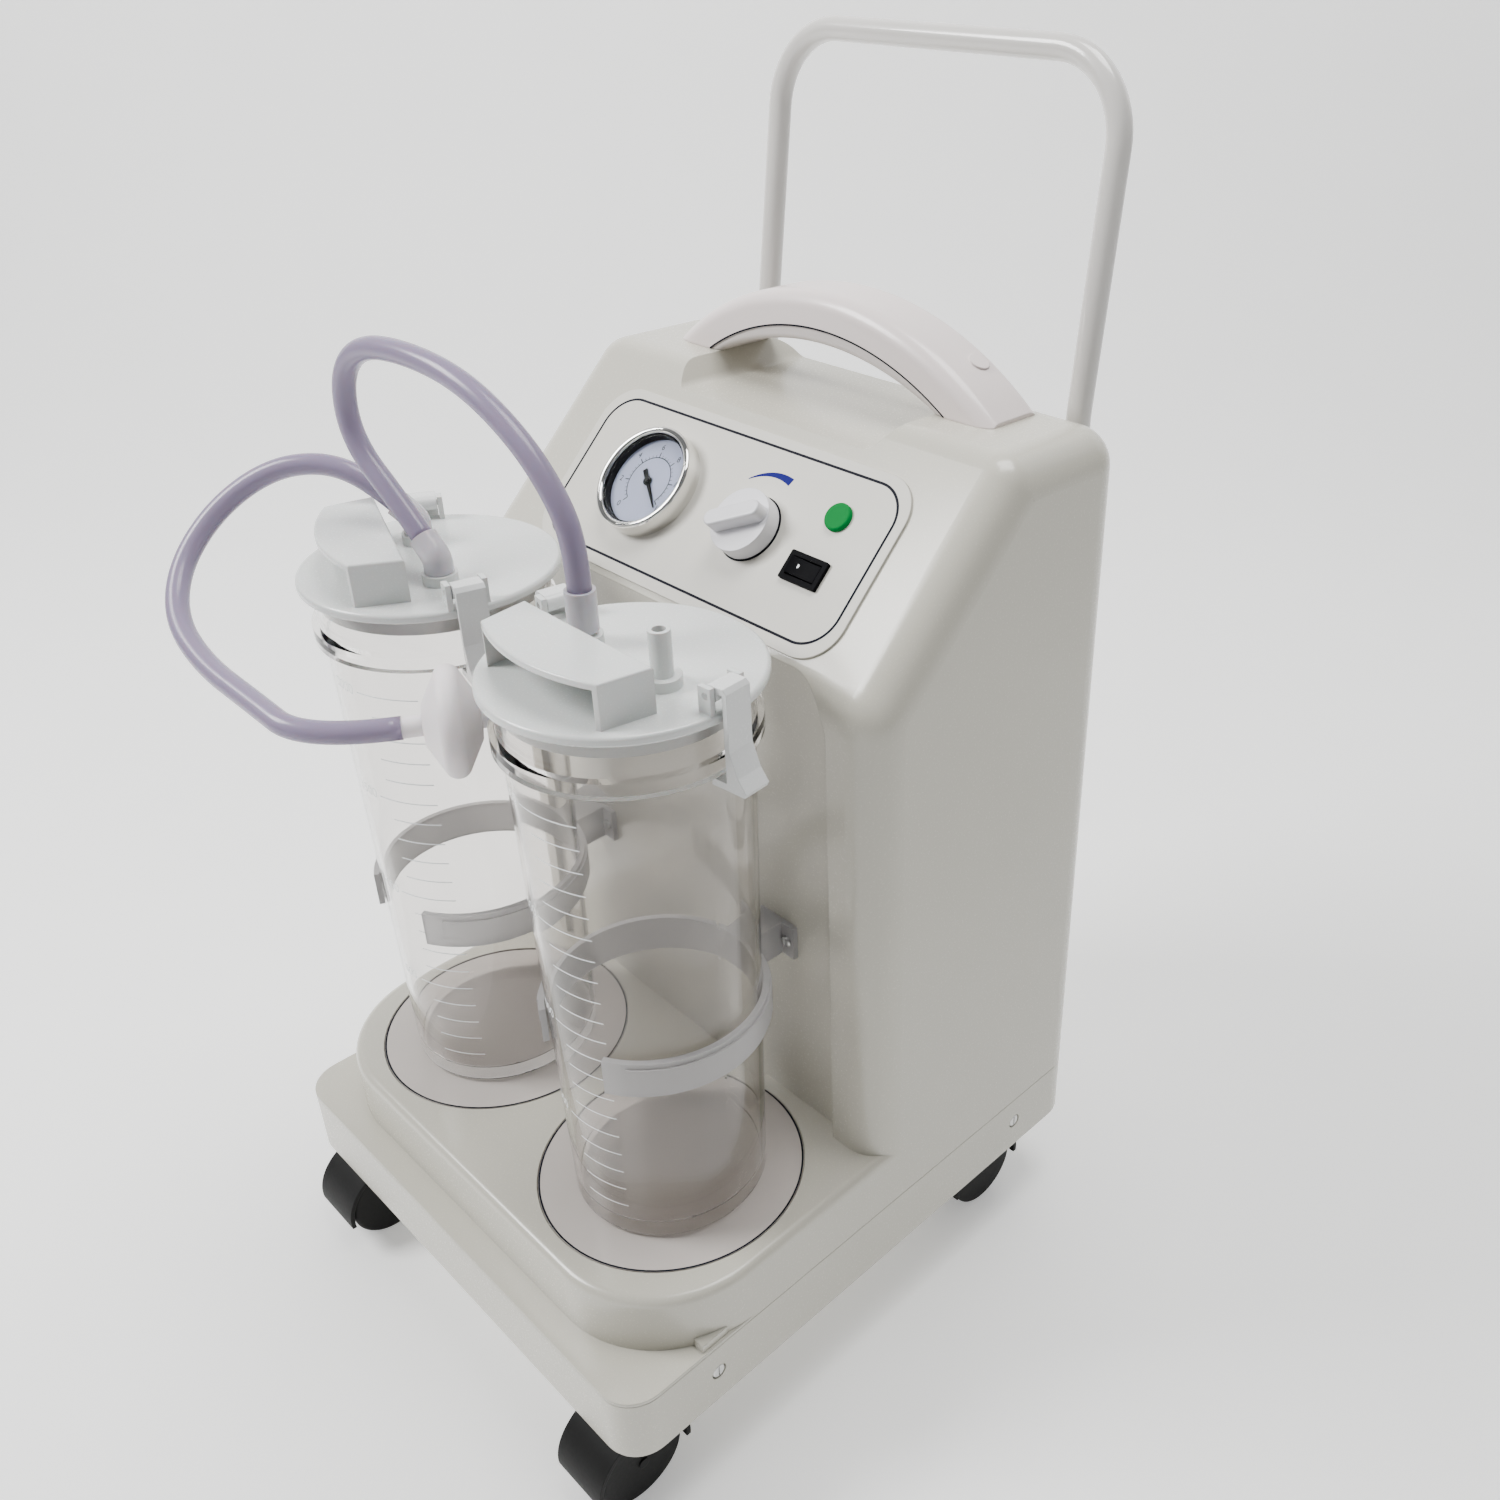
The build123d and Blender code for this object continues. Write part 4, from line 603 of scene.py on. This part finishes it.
jar_scale("left")
jar_scale("right")


# ---------------------------------------------------------------- studio
LIGHTS = {"key": ((-1.1, -1.2, 1.8), 0.8, 62), "fill": ((1.7, -0.9, 1.2), 1.2, 0.5),
          "top": ((0.2, 0.3, 2.1), 0.9, 34), "back": ((0.4, 1.6, 1.5), 1.2, 5)}     # place, size, watts
LIT_AT = Vector((0, 0, 0.3))
FLOOR_NEAR, FLOOR_REACH, FLOOR_HALF, SWEEP_R, WALL_REACH = -2.0, 6.0, 3.5, 0.6, 8.0     # metres


def floor_points():
    """The floor's sheet: level, then a quarter turn up of radius SWEEP_R, then a wall, carried straight
    across and turned to face the camera."""
    run = np.linspace(0, 1, 40)
    bend = np.clip((run - 0.5) * 4, 0, 1) * pi / 2
    reach = np.minimum(run, 0.5) * FLOOR_REACH + FLOOR_NEAR + SWEEP_R * np.sin(bend)
    height = SWEEP_R * (1 - np.cos(bend)) + np.clip(run - 0.75, 0, 1) * WALL_REACH
    x, y = np.meshgrid(np.linspace(-FLOOR_HALF, FLOOR_HALF, 20), reach, indexing="ij")
    z = np.broadcast_to(height, x.shape)
    return np.stack([x * cos(CAMERA_TURN) - y * sin(CAMERA_TURN),
                     x * sin(CAMERA_TURN) + y * cos(CAMERA_TURN), z], -1)


def studio():
    """A pale floor that curves up behind, a soft key from the upper left and weaker lights round it."""
    points = floor_points()
    faces = grid_faces(*points.shape[:2])
    data = bpy.data.meshes.new("floor")
    data.from_pydata(points.reshape(-1, 3).tolist(), [], faces.tolist())
    data.polygons.foreach_set("use_smooth", np.ones(len(faces), bool))
    data.materials.append(surface("floor_pale", (0.90, 0.90, 0.89), 0.6, spread=0.01, edge=0,
                                  Emission_Color=(1, 1, 1, 1), Emission_Strength=0.36))
    floor = bpy.data.objects.new("floor", data)
    bpy.context.scene.collection.objects.link(floor)
    for name, (place, size, power) in LIGHTS.items():
        light = bpy.data.lights.new(name, "AREA")
        light.size, light.energy = size, power
        lamp = bpy.data.objects.new(name, light)
        lamp.location = place
        lamp.rotation_euler = (LIT_AT - Vector(place)).to_track_quat("-Z", "Y").to_euler()
        bpy.context.scene.collection.objects.link(lamp)
    world = bpy.data.worlds.new("world")
    world.use_nodes = True
    sky = world.node_tree.nodes["Background"].inputs
    sky["Color"].default_value = (0.95, 0.97, 1.0, 1)
    sky["Strength"].default_value = 0.2
    bpy.context.scene.world = world


studio()
